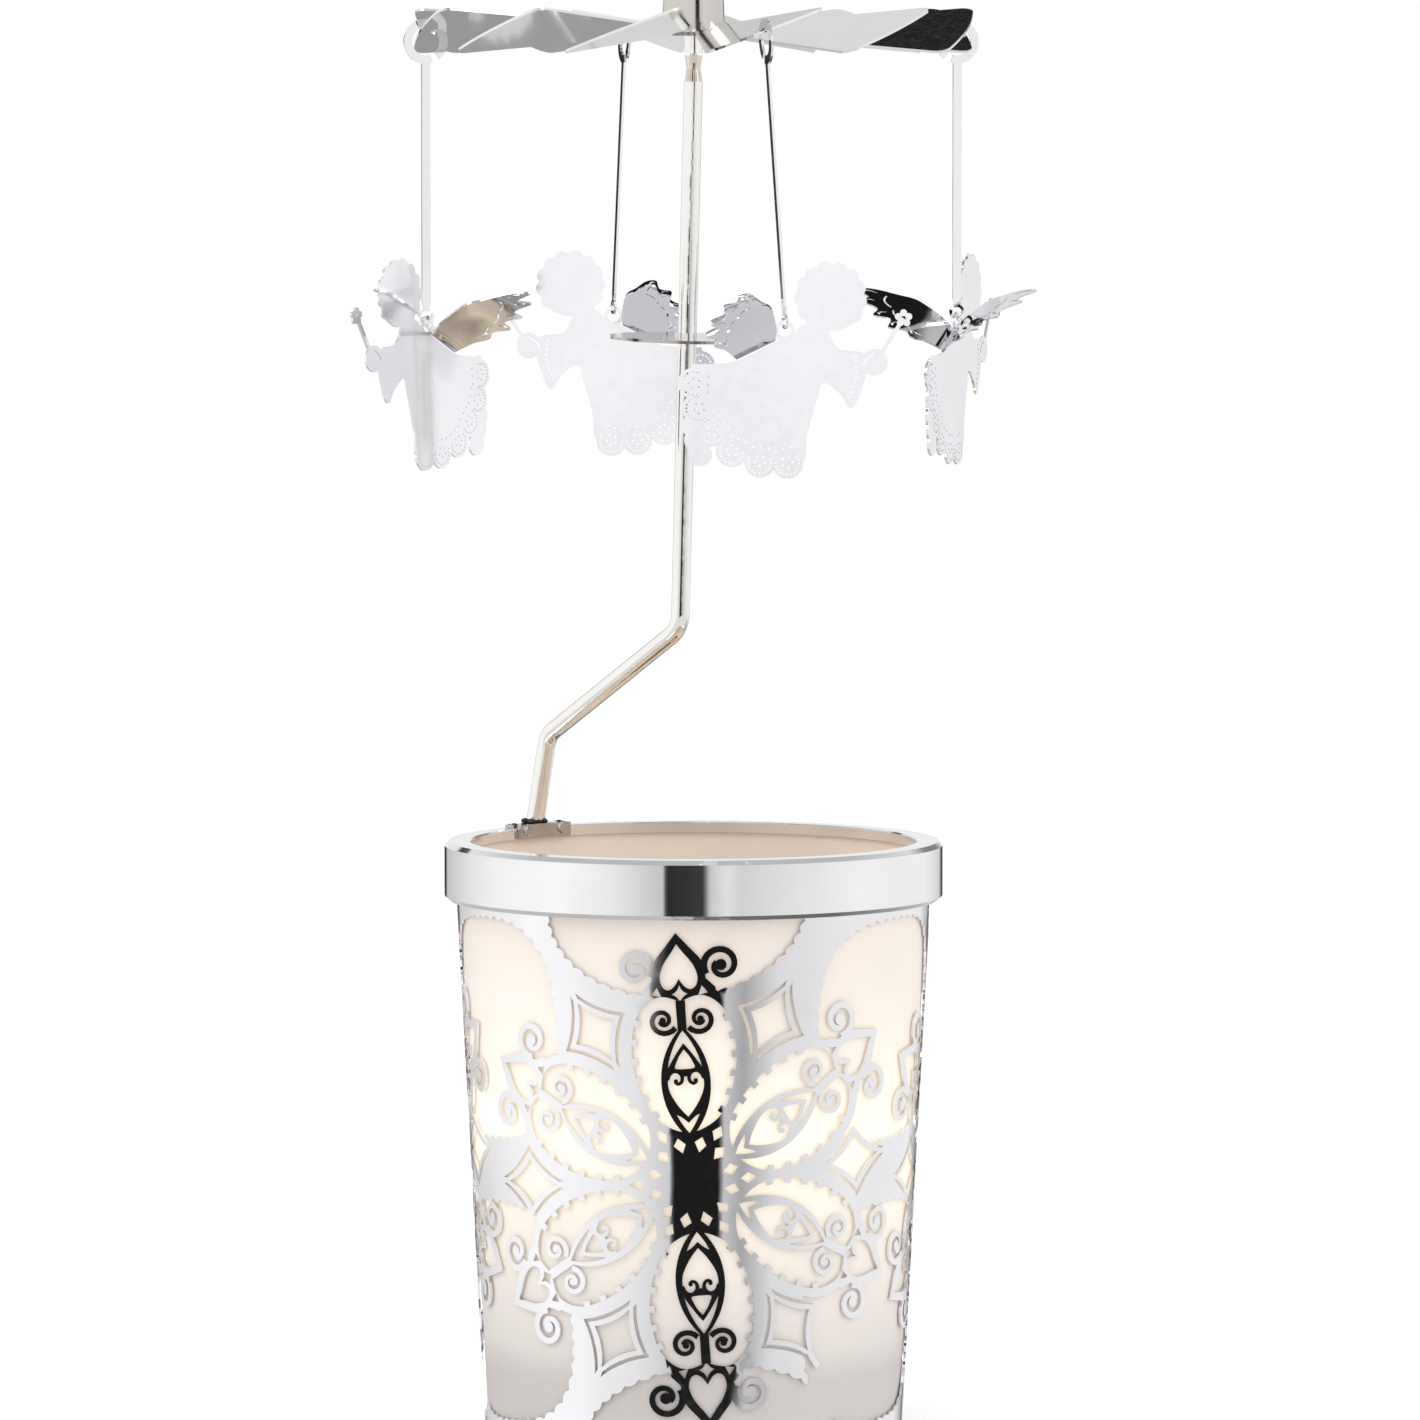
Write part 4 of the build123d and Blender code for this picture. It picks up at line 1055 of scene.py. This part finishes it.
# What the polished metal mirrors. Azimuths are degrees to the right of the camera's side, greys as the eye sees them.
mirrored = {
    "lace": [(-180, 60), (-168, 110), (-160, 200), (-130, 232), (-86, 254), (-62, 249), (-30, 232), (-12.5, 208),
             (-11, 28), (13.5, 28), (15, 200), (25, 168), (42, 222), (85, 238), (145, 238), (158, 180), (166, 100), (180, 55)],
    "ring": [(-180, 45), (-165, 55), (-161, 190), (-135, 222), (-105, 248), (-62, 254), (-38, 238), (-14, 202),
             (-12.5, 42), (5, 60), (7.5, 205), (15, 230), (22, 214), (50, 232), (85, 246), (135, 242), (155, 215), (160, 195),
             (165, 75), (180, 60)],
    "figure": [(-180, 232), (-156, 232), (-153.5, 42), (-149, 42), (-147.5, 240), (-110, 252), (6, 246), (8, 26),
               (22, 26), (24, 240), (40, 250), (143, 238), (152, 130), (162, 130), (172, 232), (180, 232)],
    "straight": [(-90, 150), (-20, 160), (-12, 195), (-5, 240), (4, 240), (10, 194), (27, 224), (33, 214), (36, 30),
                 (41, 30), (44, 200), (90, 244)],
    "left": [(-90, 190), (-22, 190), (-5, 235), (90, 235)],
    "right": [(-90, 108), (-55, 108), (-22, 190), (-5, 235), (14, 235), (19, 150), (24, 26), (66, 26), (72, 190),
              (90, 244)],
}


# Where the studio's parts meet, in degrees above eye height or round from the camera's side, with their plain greys
studio = {
    "ground": (-16.5, -15.2), "groundGrey": 225, "ringBand": (-6.6, -5.7), "figureBand": (-4.2, -3.4),
    "ceiling": (18, 50), "ceilingGrey": 190, "rear": (90, 97), "rearRise": 87, "steep": (10.5, 13.5), "steepMiddle": -4.5,
    "straight": (167.8, 168.6), "slanted": (5, 7.5), "edge": 0.01, "gloss": 1.12,
}


def linear(level):
    share = level / 255
    return share / 12.92 if share < 0.04045 else ((share + 0.055) / 1.055) ** 2.4


def feed(tree, value, socket):
    if isinstance(value, bpy.types.NodeSocket):
        tree.links.new(value, socket)
    else:
        socket.default_value = value


def maths(tree, kind, first, second=0.0):
    node = tree.nodes.new("ShaderNodeMath")
    node.operation = kind
    feed(tree, first, node.inputs[0])
    feed(tree, second, node.inputs[1])
    return node.outputs["Value"]


def fade(tree, source, low, high):
    node = tree.nodes.new("ShaderNodeMapRange")
    node.inputs["From Min"].default_value = low
    node.inputs["From Max"].default_value = high
    tree.links.new(source, node.inputs["Value"])
    return node.outputs["Result"]


def mixed(tree, share, first, second):
    node = tree.nodes.new("ShaderNodeMix")
    node.data_type = "RGBA"
    tree.links.new(share, node.inputs["Factor"])
    feed(tree, first, node.inputs["A"])
    feed(tree, second, node.inputs["B"])
    return node.outputs["Result"]


# A run of greys over an angle between minus half and half
def greysOver(tree, source, name, half):
    share = fade(tree, source, -math.radians(half), math.radians(half))
    stops = [((angle + half) / (2 * half), grey(linear(level))) for angle, level in mirrored[name]]
    return ramp(tree, share, stops).outputs["Color"]


def makeWorld():
    world = bpy.data.worlds.new("studio")
    bpy.context.scene.world = world
    world.use_nodes = True
    tree = world.node_tree
    tree.nodes.clear()
    place = tree.nodes.new("ShaderNodeTexCoord")
    split = tree.nodes.new("ShaderNodeSeparateXYZ")
    tree.links.new(place.outputs["Generated"], split.inputs["Vector"])
    around = maths(tree, "ARCTAN2", split.outputs["X"], maths(tree, "MULTIPLY", split.outputs["Y"], -1.0))
    rise = maths(tree, "ARCSINE", split.outputs["Z"])
    turn = maths(tree, "ABSOLUTE", around)

    def crossing(source, name):
        return fade(tree, source, *(math.radians(angle) for angle in studio[name]))

    # The sides, from the ground to the ceiling
    lowest, nearEye = greysOver(tree, around, "lace", 180), greysOver(tree, around, "ring", 180)
    side = mixed(tree, crossing(rise, "ringBand"), lowest, nearEye)
    side = mixed(tree, crossing(rise, "figureBand"), side, greysOver(tree, around, "figure", 180))
    side = mixed(tree, crossing(rise, "ceiling"), side, (*grey(linear(studio["ceilingGrey"])), 1))
    side = mixed(tree, crossing(rise, "ground"), (*grey(linear(studio["groundGrey"])), 1), side)

    # The rear, above and below. Above eye height it begins further round the lower it is: the ring's bevels stay light.
    edge = studio["edge"]
    left, right = greysOver(tree, rise, "left", 90), greysOver(tree, rise, "right", 90)
    rear = mixed(tree, fade(tree, around, -edge, edge), left, right)
    further = maths(tree, "SUBTRACT", rise, math.radians(studio["rearRise"]))
    further = maths(tree, "MULTIPLY", fade(tree, rise, 0.0, 2 * edge), further)
    behind = crossing(maths(tree, "ADD", turn, further), "rear")
    fromMiddle = maths(tree, "SUBTRACT", rise, math.radians(studio["steepMiddle"]))
    steep = crossing(maths(tree, "ABSOLUTE", fromMiddle), "steep")
    final = mixed(tree, maths(tree, "MULTIPLY", behind, steep), side, rear)

    # Straight behind, where the wheel's blades look
    slanted = crossing(maths(tree, "ABSOLUTE", rise), "slanted")
    straight = maths(tree, "MULTIPLY", crossing(turn, "straight"), slanted)
    final = mixed(tree, straight, final, greysOver(tree, rise, "straight", 90))

    shown = tree.nodes.new("ShaderNodeBackground")
    tree.links.new(final, shown.inputs["Color"])
    shown.inputs["Strength"].default_value = studio["gloss"]
    plain = tree.nodes.new("ShaderNodeBackground")
    plain.inputs["Color"].default_value = (1, 1, 1, 1)
    plain.inputs["Strength"].default_value = 1.0
    rays = tree.nodes.new("ShaderNodeLightPath")
    mix = tree.nodes.new("ShaderNodeMixShader")
    tree.links.new(rays.outputs["Is Glossy Ray"], mix.inputs["Fac"])
    tree.links.new(plain.outputs["Background"], mix.inputs[1])
    tree.links.new(shown.outputs["Background"], mix.inputs[2])
    out = tree.nodes.new("ShaderNodeOutputWorld")
    tree.links.new(mix.outputs["Shader"], out.inputs["Surface"])


lights = {
    "key": {"place": (-0.9, -0.7, 1.3), "size": 0.9, "power": 9.0},
    "fill": {"place": (1.1, -0.5, 0.9), "size": 0.9, "power": 5.0},
}


def makeLights(target=Vector((0, 0, 0.1))):
    for name, lamp in lights.items():
        data = bpy.data.lights.new(name, "AREA")
        data.size = lamp["size"]
        data.energy = lamp["power"]
        light = bpy.data.objects.new(name, data)
        light.location = lamp["place"]
        light.rotation_euler = (target - light.location).to_track_quat("-Z", "Y").to_euler()
        bpy.context.scene.collection.objects.link(light)


view = {"distance": 1.52, "eye": 0.2226, "aim": 0.1159, "across": 0.00264, "sensor": 36.0, "lens": 240.8,
        "clipStart": 0.05}


def makeCamera():
    data = bpy.data.cameras.new("camera")
    data.sensor_width = view["sensor"]
    data.lens = view["lens"]
    data.clip_start = view["clipStart"]
    camera = bpy.data.objects.new("camera", data)
    camera.location = (view["across"], -view["distance"], view["eye"])
    aim = Vector((view["across"], 0, view["aim"]))
    camera.rotation_euler = (aim - camera.location).to_track_quat("-Z", "Y").to_euler()
    bpy.context.scene.collection.objects.link(camera)
    bpy.context.scene.camera = camera


makeFloor()
makeWorld()
makeLights()
makeCamera()
bpy.context.scene.view_settings.view_transform = "Standard"
print("stage made")
